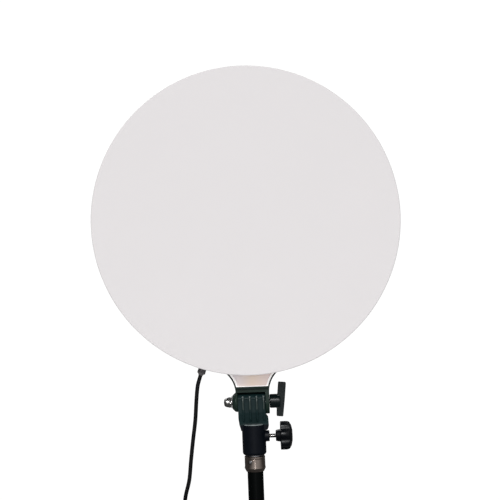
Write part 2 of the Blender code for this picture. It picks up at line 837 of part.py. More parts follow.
def build_lock(lock_axis):
    """A plated stud, its tip in the spigot's waist, with a lobed knob on its outer end."""
    start = WAIST_RADIUS + SEAT_GAP
    end = KNOB_HUB_X + KNOB_BORE_DEPTH - SEAT_GAP
    screw = solid(
        "lock_screw",
        rod_mesh(LOCK_SCREW_RADIUS, end - start, SMALL_SIDES),
        "chrome",
        (start, 0, LOCK_Z),
        TO_RIGHT,
        lock_axis,
    )
    soften(screw, 0.5 * MM, 1)
    lobes = []
    count = KNOB_LOBES * 8
    for index in range(count):
        angle = TURN * index / count
        radius = KNOB_RADIUS - KNOB_LOBE_DEPTH * (0.5 - 0.5 * math.cos(KNOB_LOBES * angle)) ** 1.6
        lobes.append((radius * math.cos(angle), radius * math.sin(angle)))
    low = KNOB_HUB_LENGTH - 0.4 * MM
    knob = solid(
        "lock_knob",
        outline_mesh([lobes], 2 * KNOB_LENGTH),
        "knob_plastic",
        (KNOB_HUB_X + low + KNOB_LENGTH, 0, LOCK_Z),
        TO_RIGHT,
        lock_axis,
    )
    dome = turned_helper(
        "lock_knob_dome",
        [
            (0, low + KNOB_LENGTH),
            (KNOB_RADIUS * 0.45, low + KNOB_LENGTH - 0.5 * MM),
            (KNOB_RADIUS * 0.8, low + KNOB_LENGTH - 2.6 * MM),
            (KNOB_RADIUS * 1.03, low + KNOB_LENGTH - 6.5 * MM),
            (KNOB_RADIUS * 1.03, low + 1 * MM),
            (KNOB_RADIUS * 0.96, low),
            (0, low),
        ],
        (KNOB_HUB_X, 0, LOCK_Z),
        TO_RIGHT,
    )
    combine(knob, dome, "INTERSECT")
    hub = helper(
        "lock_knob_hub",
        cone_mesh(KNOB_HUB_RADIUS - 1 * MM, KNOB_HUB_RADIUS, KNOB_HUB_LENGTH + 2 * MM),
        (KNOB_HUB_X, 0, LOCK_Z),
        TO_RIGHT,
    )
    join(knob, hub)
    bore = helper(
        "lock_knob_bore",
        rod_mesh(LOCK_SCREW_RADIUS + SEAT_GAP, KNOB_BORE_DEPTH + CUT_REACH, SMALL_SIDES),
        (KNOB_HUB_X - CUT_REACH, 0, LOCK_Z),
        TO_RIGHT,
    )
    cut(knob, bore)


# Tilt joint


def build_tilt_bolt(tilt_axis):
    bolt = solid(
        "tilt_bolt",
        rod_mesh(BOLT_RADIUS, BOLT_RIGHT_X - BOLT_LEFT_X, SMALL_SIDES),
        "steel",
        (BOLT_LEFT_X, 0, TILT_Z),
        TO_RIGHT,
        tilt_axis,
    )
    soften(bolt, 0.5 * MM, 1)
    boss_face = -FORK_HALF_WIDTH - LEFT_BOSS_LENGTH
    bore_radius = BOLT_RADIUS + BORE_GAP
    turned(
        "tilt_cap_washer",
        [
            (CAP_WASHER_RADIUS, CAP_WASHER_THICKNESS),
            (CAP_WASHER_RADIUS, 0),
            (bore_radius, 0),
            (bore_radius, CAP_WASHER_THICKNESS),
        ],
        "chrome",
        (boss_face - SEAT_GAP, 0, TILT_Z),
        TO_LEFT,
        tilt_axis,
        24,
    )
    nut_face = boss_face - 2 * SEAT_GAP - CAP_WASHER_THICKNESS
    bore_depth = nut_face - BOLT_LEFT_X + 0.5 * MM
    turned(
        "tilt_cap_nut",
        [
            (0, CAP_NUT_LENGTH),
            (CAP_NUT_RADIUS * 0.45, CAP_NUT_LENGTH - 0.5 * MM),
            (CAP_NUT_RADIUS * 0.8, CAP_NUT_LENGTH - 2 * MM),
            (CAP_NUT_RADIUS * 0.96, CAP_NUT_LENGTH - 4 * MM),
            (CAP_NUT_RADIUS, 0.4 * MM),
            (CAP_NUT_RADIUS - 0.4 * MM, 0),
            (bore_radius, 0),
            (bore_radius, bore_depth),
            (0, bore_depth),
        ],
        "chrome",
        (nut_face, 0, TILT_Z),
        TO_LEFT,
        tilt_axis,
        24,
    )


def build_tilt_lever(lever_axis):
    """A hub with a T-bar across its end, which leans a little outwards at its longer arm."""
    start = FORK_HALF_WIDTH + SEAT_GAP
    lever = solid(
        "tilt_lever",
        rod_mesh(LEVER_HUB_RADIUS, LEVER_HUB_LENGTH, 28),
        "head_plastic",
        (start, 0, TILT_Z),
        TO_RIGHT,
        lever_axis,
    )
    bar = helper(
        "tilt_lever_bar",
        box_mesh((LEVER_BAR_WIDTH, LEVER_BAR_DEPTH, LEVER_BAR_LENGTH)),
        (start + LEVER_HUB_LENGTH - 1.2 * MM + LEVER_BAR_WIDTH / 2, 0, TILT_Z + LEVER_BAR_RISE),
        (0, LEVER_BAR_LEAN, 0),
    )
    soften(bar, 2.2 * MM, 3)
    join(lever, bar)
    bore = helper(
        "tilt_lever_bore",
        rod_mesh(LEVER_INSERT_RADIUS + SEAT_GAP, LEVER_HUB_LENGTH + CUT_REACH),
        (start - CUT_REACH, 0, TILT_Z),
        TO_RIGHT,
    )
    cut(lever, bore)
    turned(
        "tilt_lever_insert",
        [
            (LEVER_INSERT_RADIUS, LEVER_HUB_LENGTH - 2 * SEAT_GAP),
            (LEVER_INSERT_RADIUS, 0),
            (BOLT_RADIUS + SEAT_GAP, 0),
            (BOLT_RADIUS + SEAT_GAP, LEVER_HUB_LENGTH - 2 * SEAT_GAP),
        ],
        "brass",
        (start + SEAT_GAP, 0, TILT_Z),
        TO_RIGHT,
        lever_axis,
        24,
    )


# Neck and rear housing


def flare_points(inset, low_z, count=7):
    """The right-hand edge as (x, z): hollow flare, then round shoulder up to the straight side."""
    hollow = FLARE_RADIUS + inset
    centre_x = FORK_HALF_WIDTH + FLARE_RADIUS
    start = math.asin((low_z - BRIDGE_BOTTOM_Z) / hollow)
    points = []
    for index in range(count):
        angle = start + (FLARE_ANGLE - start) * index / (count - 1)
        x = centre_x - hollow * math.cos(angle)
        points.append((x, BRIDGE_BOTTOM_Z + hollow * math.sin(angle)))
    hip = centre_x - FLARE_RADIUS * math.cos(FLARE_ANGLE)
    swell = (HOUSING_HALF_WIDTH - hip) / (1 - math.cos(FLARE_ANGLE))
    swell_z = BRIDGE_BOTTOM_Z + (FLARE_RADIUS + swell) * math.sin(FLARE_ANGLE)
    full = swell - inset
    for index in range(1, count):
        angle = FLARE_ANGLE * (1 - index / (count - 1))
        x = HOUSING_HALF_WIDTH - swell + full * math.cos(angle)
        points.append((x, swell_z - full * math.sin(angle)))
    return points


def housing_outline(inset, low_z):
    right = flare_points(inset, low_z)
    corner = HOUSING_CORNER - inset
    centre_x = HOUSING_HALF_WIDTH - HOUSING_CORNER
    right += arc(centre_x, HOUSING_TOP_Z - HOUSING_CORNER, corner, 0, math.pi / 2, 5)
    return right + [(-x, z) for x, z in reversed(right)]


def cover_outline(inset):
    """The neck plate's edge: the flare up to the plate's flat top."""
    edge = flare_points(inset, CAVITY_BOTTOM_Z + SEAT_GAP)
    points = [point for point in edge if point[1] < NECK_COVER_TOP_Z]
    (low_x, low_z), (high_x, high_z) = edge[len(points) - 1 : len(points) + 1]
    share = (NECK_COVER_TOP_Z - low_z) / (high_z - low_z)
    points.append((low_x + (high_x - low_x) * share, NECK_COVER_TOP_Z))
    return points + [(-x, z) for x, z in reversed(points)]


def eye_outline(radius, half_depth):
    """A fork cheek's side view as (y, z - TILT_Z): an eye that runs up to the bridge."""
    top = BRIDGE_BOTTOM_Z - TILT_Z + 2 * MM
    reach = min(half_depth, radius)
    return [(-reach, top), *arc(0, 0, radius, math.pi, TURN, 15), (reach, top)]


def build_neck_housing(tilt_axis):
    """The fork and the box behind the panel, in one moulding, open towards the panel."""
    front = -PANEL_BACK + SEAT_GAP
    depth = HOUSING_BACK_Y - front
    housing = solid(
        "neck_housing",
        outline_mesh([housing_outline(0, BRIDGE_BOTTOM_Z)], depth),
        "shell_plastic",
        (0, (front + HOUSING_BACK_Y) / 2, 0),
        TO_FRONT,
        tilt_axis,
    )
    soften(housing, HOUSING_EDGE, 1)
    cavity_back = HOUSING_BACK_Y - HOUSING_BACK_WALL
    cavity_front = front - CUT_REACH
    cavity = helper(
        "housing_cavity",
        outline_mesh([housing_outline(HOUSING_WALL, CAVITY_BOTTOM_Z)], cavity_back - cavity_front),
        (0, (cavity_front + cavity_back) / 2, 0),
        TO_FRONT,
    )
    cut(housing, cavity)
    for name, edge, side in (("front", front, -1), ("back", HOUSING_BACK_Y, 1)):
        low, high = sorted((side * BRIDGE_HALF_DEPTH, edge + side * CUT_REACH))
        tall = BRIDGE_TOP_Z - BRIDGE_BOTTOM_Z + CUT_REACH
        step = helper(
            f"bridge_{name}_step",
            box_mesh((6 * FORK_HALF_WIDTH, high - low, tall)),
            (0, (low + high) / 2, BRIDGE_TOP_Z - tall / 2),
        )
        cut(housing, step)
    build_fork(housing)
    for index, (x, z) in enumerate(pillar_places()):
        pillar = helper(
            f"housing_pillar_{index + 1}",
            rod_mesh(PILLAR_RADIUS, cavity_back - front + JOIN_SINK, SCREW_SIDES),
            (x, cavity_back + JOIN_SINK, z),
            TO_FRONT,
        )
        join(housing, pillar)
    screw_holes(housing, pillar_places(), HOUSING_BACK_Y, front)
    hole_length = HOUSING_BACK_WALL + 2 * CUT_REACH
    for index, x in enumerate((-DIAL_X, DIAL_X)):
        hole = helper(
            f"dial_hole_{index + 1}",
            rod_mesh(POT_BUSH_RADIUS + SEAT_GAP, hole_length, SMALL_SIDES),
            (x, HOUSING_BACK_Y + CUT_REACH, DIAL_Z),
            TO_FRONT,
        )
        cut(housing, hole)
    opening = helper(
        "switch_opening",
        box_mesh((SWITCH_WIDTH + 2 * SEAT_GAP, hole_length, SWITCH_HEIGHT + 2 * SEAT_GAP)),
        (0, HOUSING_BACK_Y - HOUSING_BACK_WALL / 2, SWITCH_Z),
    )
    cut(housing, opening)
    cover_front = front + NECK_COVER_RECESS
    cover = solid(
        "neck_cover",
        outline_mesh([cover_outline(HOUSING_WALL + SEAT_GAP)], NECK_COVER_THICKNESS),
        "pale_plate",
        (0, cover_front + NECK_COVER_THICKNESS / 2, 0),
        TO_FRONT,
        tilt_axis,
    )
    soften(cover, NECK_COVER_EDGE, 1)


def build_fork(housing):
    """The two cheeks that hold the barrel between them, and the boss on the left one."""
    for name, radius, barrel_end, side in (
        ("left", LEFT_EYE_RADIUS, -BARREL_LEFT_X, -1),
        ("right", RIGHT_EYE_RADIUS, BARREL_RIGHT_X, 1),
    ):
        inner = barrel_end + FORK_GAP
        thickness = FORK_HALF_WIDTH - inner
        cheek = helper(
            f"fork_{name}_cheek",
            outline_mesh([eye_outline(radius, BRIDGE_HALF_DEPTH)], thickness),
            (side * (inner + thickness / 2), 0, TILT_Z),
            (math.pi / 2, 0, math.pi / 2),
        )
        join(housing, cheek)
    boss = helper(
        "fork_left_boss",
        cone_mesh(
            LEFT_EYE_RADIUS - SEAT_GAP,
            LEFT_BOSS_TIP_RADIUS,
            LEFT_BOSS_LENGTH + JOIN_SINK,
            LEFT_BOSS_SIDES,
        ),
        (-FORK_HALF_WIDTH + JOIN_SINK, 0, TILT_Z),
        TO_LEFT,
    )
    join(housing, boss)
    bore_left = -FORK_HALF_WIDTH - LEFT_BOSS_LENGTH - CUT_REACH
    bore = helper(
        "fork_bolt_bore",
        rod_mesh(BOLT_RADIUS + BORE_GAP, FORK_HALF_WIDTH + CUT_REACH - bore_left),
        (bore_left, 0, TILT_Z),
        TO_RIGHT,
    )
    cut(housing, bore)


def pillar_places():
    return [(x, z) for z in (PILLAR_LOW_Z, PILLAR_HIGH_Z) for x in (-PILLAR_X, PILLAR_X)]


def screw_holes(obj, places, head_y, end_y):
    """Stepped holes for pan-head screws that are driven from the back."""
    seat = SCREW_HEAD_HEIGHT + 2 * SEAT_GAP
    length = head_y - end_y
    for index, (x, z) in enumerate(places):
        hole = turned_helper(
            f"{obj.name}_screw_hole_{index + 1}",
            [
                (0, length + CUT_REACH),
                (SCREW_RADIUS + SEAT_GAP, length + CUT_REACH),
                (SCREW_RADIUS + SEAT_GAP, seat),
                (SCREW_HEAD_RADIUS + SEAT_GAP, seat),
                (SCREW_HEAD_RADIUS + SEAT_GAP, -CUT_REACH),
                (0, -CUT_REACH),
            ],
            (x, head_y, z),
            TO_FRONT,
            SCREW_SIDES,
        )
        cut(obj, hole)


def pan_head_screw(name, x, z, head_y, length, tilt_axis):
    """A screw driven from the back, its head sunk by one gap and dished for the driver."""
    under = SEAT_GAP + SCREW_HEAD_HEIGHT
    turned(
        name,
        [
            (0, under + length),
            (SCREW_RADIUS, under + length),
            (SCREW_RADIUS, under),
            (SCREW_HEAD_RADIUS, under),
            (SCREW_HEAD_RADIUS, SEAT_GAP),
            (SCREW_HEAD_RADIUS * 0.45, SEAT_GAP),
            (0, SEAT_GAP + SCREW_HEAD_HEIGHT / 2),
        ],
        "steel",
        (x, head_y, z),
        TO_FRONT,
        tilt_axis,
        SCREW_SIDES,
    )


def build_housing_screws(tilt_axis):
    end = PANEL_BACK + REAR_WALL + SHELL_BOSS_HEIGHT - SCREW_END_GAP
    length = HOUSING_BACK_Y + end - SEAT_GAP - SCREW_HEAD_HEIGHT
    for index, (x, z) in enumerate(pillar_places()):
        pan_head_screw(f"housing_screw_{index + 1}", x, z, HOUSING_BACK_Y, length, tilt_axis)


# Panel


def panel_turned(name, points, look, tilt_axis, sides=FINE_SIDES):
    return turned(name, points, look, (0, 0, PANEL_CENTRE_Z), TO_FRONT, tilt_axis, sides)


def build_diffuser(tilt_axis):
    corner = PANEL_FRONT - DIFFUSER_EDGE
    outer = arc(PANEL_RADIUS - DIFFUSER_EDGE, corner, DIFFUSER_EDGE, math.pi / 2, 0, 3)
    inner_radius = PANEL_RADIUS - DIFFUSER_WALL
    inner_front = PANEL_FRONT - DIFFUSER_WALL
    panel_turned(
        "front_diffuser",
        [
            (0, PANEL_FRONT),
            *outer,
            (PANEL_RADIUS, PANEL_FRONT - DIFFUSER_SKIRT),
            (inner_radius, PANEL_FRONT - DIFFUSER_SKIRT),
            (inner_radius, inner_front - DIFFUSER_INNER_EDGE),
            (inner_radius - DIFFUSER_INNER_EDGE, inner_front),
            (0, inner_front),
        ],
        "opal",
        tilt_axis,
    )


def rim_places():
    """Rim screw centres, clear of the housing and of the jack."""
    radius = frame_ring_outer() - FRAME_RING_FLANGE / 2
    places = []
    for index in range(RIM_SCREW_COUNT):
        angle = TURN * (index + 0.5) / RIM_SCREW_COUNT
        x = radius * math.sin(angle)
        places.append((x, PANEL_CENTRE_Z + radius * math.cos(angle)))
    return places


def lip_outer():
    return PANEL_RADIUS - DIFFUSER_WALL - SEAT_GAP


def frame_ring_outer():
    return lip_outer() - REAR_LIP_WALL - SEAT_GAP


def stack_depths():
    """Front faces of light guide, reflector, plate and ring flange, measured like PANEL_FRONT."""
    guide = PANEL_FRONT - DIFFUSER_WALL - GUIDE_AIR_GAP
    reflector = guide - GUIDE_THICKNESS - SEAT_GAP
    plate = reflector - REFLECTOR_THICKNESS - SEAT_GAP
    flange = plate - PLATE_THICKNESS - SEAT_GAP
    return guide, reflector, plate, flange


def build_rear_shell(tilt_axis):
    top = PANEL_FRONT - DIFFUSER_SKIRT - SEAT_GAP
    lip_inner = lip_outer() - REAR_LIP_WALL
    wall_inner = PANEL_RADIUS - REAR_WALL
    floor = PANEL_BACK + REAR_WALL
    edge = arc(PANEL_RADIUS - REAR_EDGE, PANEL_BACK + REAR_EDGE, REAR_EDGE, 0, -math.pi / 2, 3)
    shell = panel_turned(
        "rear_shell",
        [
            (0, floor),
            (wall_inner - REAR_INNER_EDGE, floor),
            (wall_inner, floor + REAR_INNER_EDGE),
            (wall_inner, top - REAR_LIP_ROOT - REAR_LIP_SLOPE),
            (lip_inner, top - REAR_LIP_ROOT),
            (lip_inner, top + REAR_LIP_HEIGHT),
            (lip_outer(), top + REAR_LIP_HEIGHT),
            (lip_outer(), top),
            (PANEL_RADIUS, top),
            *edge,
            (0, PANEL_BACK),
        ],
        "shell_plastic",
        tilt_axis,
    )
    flange = stack_depths()[3]
    boss_length = flange - FRAME_RING_WALL - SEAT_GAP - floor
    for index, (x, z) in enumerate(rim_places()):
        boss = helper(
            f"rim_boss_{index + 1}",
            rod_mesh(RIM_BOSS_RADIUS, boss_length + JOIN_SINK, SCREW_SIDES),
            (x, -floor + JOIN_SINK, z),
            TO_FRONT,
        )
        join(shell, boss)
    for index, (x, z) in enumerate(pillar_places()):
        boss = helper(
            f"shell_boss_{index + 1}",
            rod_mesh(PILLAR_RADIUS, SHELL_BOSS_HEIGHT + JOIN_SINK, SCREW_SIDES),
            (x, -floor + JOIN_SINK, z),
            TO_FRONT,
        )
        join(shell, boss)
        hole = helper(
            f"shell_boss_hole_{index + 1}",
            rod_mesh(
                SCREW_RADIUS + SEAT_GAP,
                CUT_REACH + REAR_WALL + SHELL_BOSS_HEIGHT - SHELL_HOLE_FLOOR,
                SCREW_SIDES,
            ),
            (x, -PANEL_BACK + CUT_REACH, z),
            TO_FRONT,
        )
        cut(shell, hole)
    screw_holes(shell, rim_places(), -PANEL_BACK, -flange)
    jack_hole = helper(
        "jack_hole",
        rod_mesh(JACK_RADIUS + SEAT_GAP, REAR_WALL + 4 * CUT_REACH),
        rim_point(PANEL_RADIUS - REAR_WALL - 2 * CUT_REACH),
        rim_rotation(),
    )
    cut(shell, jack_hole)
    for index, (x, z) in enumerate(rim_places()):
        length = flange - PANEL_BACK - SEAT_GAP - SCREW_HEAD_HEIGHT - RIM_SCREW_END_GAP
        pan_head_screw(f"rim_screw_{index + 1}", x, z, -PANEL_BACK, length, tilt_axis)


def build_light_stack(tilt_axis):
    """Light guide, reflector and back plate in the ring frame, whose wall carries the LED strip."""
    guide, reflector, plate, flange = stack_depths()
    for name, radius, front, thickness, look in (
        ("light_guide", GUIDE_RADIUS, guide, GUIDE_THICKNESS, "clear_acrylic"),
        ("reflector_sheet", GUIDE_RADIUS, reflector, REFLECTOR_THICKNESS, "white_sheet"),
        ("support_plate", PLATE_RADIUS, plate, PLATE_THICKNESS, "aluminium"),
    ):
        solid(
            name,
            rod_mesh(radius, thickness, FINE_SIDES),
            look,
            (0, -front + thickness, PANEL_CENTRE_Z),
            TO_FRONT,
            tilt_axis,
        )
    outer = frame_ring_outer()
    inner = outer - FRAME_RING_WALL
    top = PANEL_FRONT - DIFFUSER_WALL - FRAME_RING_TOP_GAP
    ring = panel_turned(
        "led_ring_frame",
        [
            (outer, top),
            (outer, flange - FRAME_RING_WALL),
            (outer - FRAME_RING_FLANGE, flange - FRAME_RING_WALL),
            (outer - FRAME_RING_FLANGE, flange),
            (inner, flange),
            (inner, top),
        ],
        "aluminium",
        tilt_axis,
    )
    for index, (x, z) in enumerate(rim_places()):
        hole = helper(
            f"ring_hole_{index + 1}",
            rod_mesh(SCREW_RADIUS + SEAT_GAP, FRAME_RING_WALL + 2 * CUT_REACH, SCREW_SIDES),
            (x, -flange + FRAME_RING_WALL + CUT_REACH, z),
            TO_FRONT,
        )
        cut(ring, hole)
    strip_outer = inner - SEAT_GAP
    strip_top = guide + STRIP_RISE
    strip = panel_turned(
        "led_strip",
        [
            (strip_outer, strip_top),
            (strip_outer, strip_top - STRIP_HEIGHT),
            (strip_outer - STRIP_THICKNESS, strip_top - STRIP_HEIGHT),
            (strip_outer - STRIP_THICKNESS, strip_top),
        ],
        "white_sheet",
        tilt_axis,
    )
    shape = bmesh.new()
    middle = strip_outer - STRIP_THICKNESS - LED_DEPTH / 2 + LED_SINK
    for index in range(LED_COUNT):
        place = (
            Matrix.Rotation(TURN * (index + 0.5) / LED_COUNT, 4, "Z")
            @ Matrix.Translation((middle, 0, strip_top - STRIP_HEIGHT / 2))
            @ Matrix.Diagonal((LED_DEPTH, LED_WIDTH, LED_WIDTH, 1))
        )
        bmesh.ops.create_cube(shape, size=1, matrix=place)
    packages = helper(
        "led_packages", mesh_from(shape, "led_packages"), (0, 0, PANEL_CENTRE_Z), TO_FRONT
    )
    join(strip, packages)


# Controls


def build_controls(tilt_axis):
    """The driver board and, on its back, the two potentiometers with their dials."""
    board = solid(
        "driver_board",
        box_mesh((BOARD_WIDTH, BOARD_THICKNESS, BOARD_HEIGHT)),
        "circuit_green",
        (0, BOARD_Y + BOARD_THICKNESS / 2, DIAL_Z),
        UPRIGHT,
        tilt_axis,
    )
    face = BOARD_Y + JOIN_SINK
    for index, (x, rise, radius, tall) in enumerate(CAPACITOR_PLACES):
        capacitor = helper(
            f"board_capacitor_{index + 1}",
            rod_mesh(radius, tall, SMALL_SIDES),
            (x, face, DIAL_Z + rise),
            TO_FRONT,
        )
        join(board, capacitor)
    choke = helper(
        "board_choke",
        box_mesh(CHOKE_SIZE),
        (CHOKE_X, face - CHOKE_SIZE[1] / 2, DIAL_Z - CHOKE_DROP),
    )
    join(board, choke)
    pot_front = BOARD_Y + BOARD_THICKNESS + SEAT_GAP
    pot_back = HOUSING_BACK_Y - HOUSING_BACK_WALL - SEAT_GAP
    pot_depth = pot_back - pot_front
    shaft_front = pot_back - POT_SHAFT_SINK
    dial_front = HOUSING_BACK_Y + DIAL_FLOAT
    bush_end = HOUSING_BACK_Y + POT_BUSH_REACH
    for name, x in (("brightness", -DIAL_X), ("colour", DIAL_X)):
        pot = solid(
            f"{name}_pot",
            box_mesh((POT_WIDTH, pot_depth, POT_WIDTH)),
            "steel",
            (x, (pot_front + pot_back) / 2, DIAL_Z),
            UPRIGHT,
            tilt_axis,
        )
        bush = helper(
            f"{name}_pot_bush",
            rod_mesh(POT_BUSH_RADIUS, bush_end - pot_back + JOIN_SINK, SMALL_SIDES),
            (x, pot_back - JOIN_SINK, DIAL_Z),
            TO_BACK,
        )
        join(pot, bush)
        bore = helper(
            f"{name}_pot_bore",
            rod_mesh(SHAFT_RADIUS + SEAT_GAP, bush_end - shaft_front + CUT_REACH, SMALL_SIDES),
            (x, shaft_front - SEAT_GAP, DIAL_Z),
            TO_BACK,
        )
        cut(pot, bore)
        build_dial(name, x, dial_front, shaft_front, tilt_axis)
    build_switch(tilt_axis)


def build_switch(tilt_axis):
    """A snap-in rocker switch: body, bezel on the housing's back, and the rocker in its well."""
    bezel_front = HOUSING_BACK_Y + SEAT_GAP
    body_back = bezel_front + SWITCH_BEZEL / 2
    switch = solid(
        "power_switch",
        box_mesh((SWITCH_WIDTH, body_back - SWITCH_FRONT_Y, SWITCH_HEIGHT)),
        "knob_plastic",
        (0, (SWITCH_FRONT_Y + body_back) / 2, SWITCH_Z),
        UPRIGHT,
        tilt_axis,
    )
    bezel = helper(
        "switch_bezel",
        box_mesh(
            (
                SWITCH_WIDTH + 2 * SWITCH_BEZEL_RIM,
                SWITCH_BEZEL,
                SWITCH_HEIGHT + 2 * SWITCH_BEZEL_RIM,
            )
        ),
        (0, bezel_front + SWITCH_BEZEL / 2, SWITCH_Z),
    )
    soften(bezel, 0.5 * MM, 1)
    join(switch, bezel)
    well = helper(
        "switch_well",
        box_mesh(
            (
                ROCKER_WIDTH + 2 * ROCKER_SIDE_GAP,
                2 * (SWITCH_BEZEL + SWITCH_WELL_DEPTH),
                ROCKER_HEIGHT + 2 * ROCKER_END_GAP,
            )
        ),
        (0, bezel_front + SWITCH_BEZEL, SWITCH_Z),
    )
    cut(switch, well)
    rocker = solid(
        "power_rocker",
        outline_mesh([rocker_outline()], ROCKER_WIDTH),
        "knob_plastic",
        (0, HOUSING_BACK_Y, SWITCH_Z),
        (math.pi / 2, 0, math.pi / 2),
        tilt_axis,
    )
    soften(rocker, 0.3 * MM, 1)


def rocker_outline():
    """The rocker's side view as (y, z) from its pivot, tipped to one end of its travel."""
    half = ROCKER_HEIGHT / 2
    shape = [
        (-0.6 * MM, -half + 0.6 * MM),
        (1.9 * MM, -half),
        (2.2 * MM, -half + 0.4 * MM),
        (1.7 * MM, 0),
        (2.2 * MM, half - 0.4 * MM),
        (1.9 * MM, half),
        (-0.6 * MM, half - 0.6 * MM),
        (-1.6 * MM, 0),
    ]
    turn_cos = math.cos(ROCKER_ANGLE)
    turn_sin = math.sin(ROCKER_ANGLE)
    return [(y * turn_cos - z * turn_sin, y * turn_sin + z * turn_cos) for y, z in shape]


def build_dial(name, x, dial_front, shaft_front, tilt_axis):
    """A grooved dial on its shaft, both turning about the shaft's axis."""
    grip = []
    for index in range(DIAL_TEETH * 2):
        radius = DIAL_RADIUS - DIAL_TOOTH_DEPTH * (1 - index % 2)
        angle = TURN * index / (DIAL_TEETH * 2)
        grip.append((radius * math.cos(angle), radius * math.sin(angle)))
    dial = solid(
        f"{name}_dial",
        outline_mesh([grip], DIAL_HEIGHT),
        "knob_plastic",
        (x, dial_front + DIAL_HEIGHT / 2, DIAL_Z),
        TO_BACK,
        tilt_axis,
    )
    pocket = turned_helper(
        f"{name}_dial_pocket",
        [
            (0, DIAL_HEIGHT - DIAL_FACE),
            (SHAFT_RADIUS + SEAT_GAP, DIAL_HEIGHT - DIAL_FACE),
            (SHAFT_RADIUS + SEAT_GAP, DIAL_SKIRT_DEPTH),
            (DIAL_RADIUS - DIAL_RIM, DIAL_SKIRT_DEPTH),
            (DIAL_RADIUS - DIAL_RIM, -DIAL_SKIRT_DEPTH),
            (0, -DIAL_SKIRT_DEPTH),
        ],
        (x, dial_front, DIAL_Z),
        TO_BACK,
        SMALL_SIDES,
    )
    cut(dial, pocket)
    mark = helper(
        f"{name}_dial_mark",
        box_mesh((DIAL_MARK_WIDTH, 2 * DIAL_MARK_DEPTH, DIAL_MARK_LENGTH)),
        (x, dial_front + DIAL_HEIGHT, DIAL_Z + DIAL_RADIUS - DIAL_MARK_LENGTH * 0.7),
    )
    cut(dial, mark)
    shaft_length = dial_front + DIAL_HEIGHT - DIAL_FACE - SEAT_GAP - shaft_front
    solid(
        f"{name}_shaft",
        rod_mesh(SHAFT_RADIUS, shaft_length, SMALL_SIDES),
        "steel",
        (x, shaft_front, DIAL_Z),
        TO_BACK,
        tilt_axis,
    )


# Jack and plug


def rim_direction():
    return Vector((-math.sin(JACK_ANGLE), 0, -math.cos(JACK_ANGLE)))


def rim_point(radius):
    return rim_direction() * radius + Vector((0, -JACK_DEPTH, PANEL_CENTRE_Z))


def rim_rotation():
    return rim_direction().to_track_quat("Z", "Y").to_euler()


def build_jack_and_plug(tilt_axis):
    """The jack's case lies inside the shell's lip, its round mouth in the rim. The plug is in it."""
    body_end = frame_ring_outer() - JACK_RING_GAP
    body_start = body_end - JACK_BODY_LENGTH
    jack = solid(
        "dc_jack",
        rod_mesh(JACK_RADIUS, PANEL_RADIUS - SEAT_GAP - body_start),
        "lead_plastic",
        rim_point(body_start),
        rim_rotation(),
        tilt_axis,
    )
    case = helper(
        "jack_case",
        box_mesh((JACK_BODY_WIDTH, JACK_BODY_DEPTH, JACK_BODY_LENGTH)),
        rim_point((body_start + body_end) / 2),
        rim_rotation(),
    )
    join(jack, case)
    start = PANEL_RADIUS + SEAT_GAP
    tip = start - PLUG_TIP_LENGTH
    end = PLUG_TIP_LENGTH + PLUG_LENGTH
    bore = helper(
        "jack_bore",
        rod_mesh(PLUG_TIP_RADIUS + SEAT_GAP, PLUG_TIP_LENGTH + CUT_REACH, SMALL_SIDES),
        rim_point(tip - SEAT_GAP),
        rim_rotation(),
    )
    cut(jack, bore)
    turned(
        "dc_plug",
        [
            (0, end),
            (LEAD_RADIUS + PLUG_LEAD_LIP, end),
            (PLUG_RADIUS - PLUG_SHOULDER, end - PLUG_TAPER + PLUG_SHOULDER),
            (PLUG_RADIUS, end - PLUG_TAPER),
            (PLUG_RADIUS, PLUG_TIP_LENGTH),
            (PLUG_TIP_RADIUS, PLUG_TIP_LENGTH),
            (PLUG_TIP_RADIUS, PLUG_TIP_CHAMFER),
            (PLUG_TIP_RADIUS - PLUG_TIP_CHAMFER, 0),
            (0, 0),
        ],
        "lead_plastic",
        rim_point(tip),
        rim_rotation(),
        tilt_axis,
    )


# Power lead


def coil_centre():
    half_build = COIL_PITCH * COIL_TURNS / COIL_LAYERS / 2
    outside = COIL_MID_RADIUS + half_build + LEAD_RADIUS
    return Vector((-RISER_RADIUS - POLE_GAP - outside, 0, COIL_CENTRE_Z))


def coil_route():
    """Loops that spiral in and out, climbing a layer in the half turn where the spiral reverses."""
    per_layer = COIL_TURNS / COIL_LAYERS
    build = COIL_PITCH * per_layer
    outer = COIL_MID_RADIUS + build / 2
    first_y = -COIL_PITCH * (COIL_LAYERS - 1) / 2
    centre = coil_centre()
    points = []
    count = round(COIL_TURNS * LOOP_POINTS)
    for index in range(count + 1):
        turns = COIL_TURNS * index / count
        layer_place = turns / per_layer
        layer = min(int(layer_place), COIL_LAYERS - 1)
        share = layer_place - layer
        radius = outer - build * share if layer % 2 == 0 else outer - build * (1 - share)
        y = first_y
        for border in range(1, COIL_LAYERS):
            climb = (turns - border * per_layer) / 0.5 + 0.5
            climb = min(max(climb, 0), 1)
            y += COIL_PITCH * climb * climb * (3 - 2 * climb)
        angle = math.pi + TURN * turns
        points.append(centre + Vector((radius * math.cos(angle), y, radius * math.sin(angle))))
    run_in = points[0] + Vector((0, 0, 2 * LEAD_RADIUS))
    run_out = points[-1] + Vector((2 * LEAD_RADIUS, 0, 0))
    return [run_in, *points, run_out]


def least_self_gap(route, apart):
    """The least gap between stretches of the tube that lie at least the given length apart."""
    walked = [0]
    for first, second in zip(route, route[1:]):
        walked.append(walked[-1] + (second - first).length)
    least = 1
    for i, first in enumerate(route):
        for j in range(i + 1, len(route)):
            if walked[j] - walked[i] > apart:
                least = min(least, (route[j] - first).length - 2 * LEAD_RADIUS)
    return least


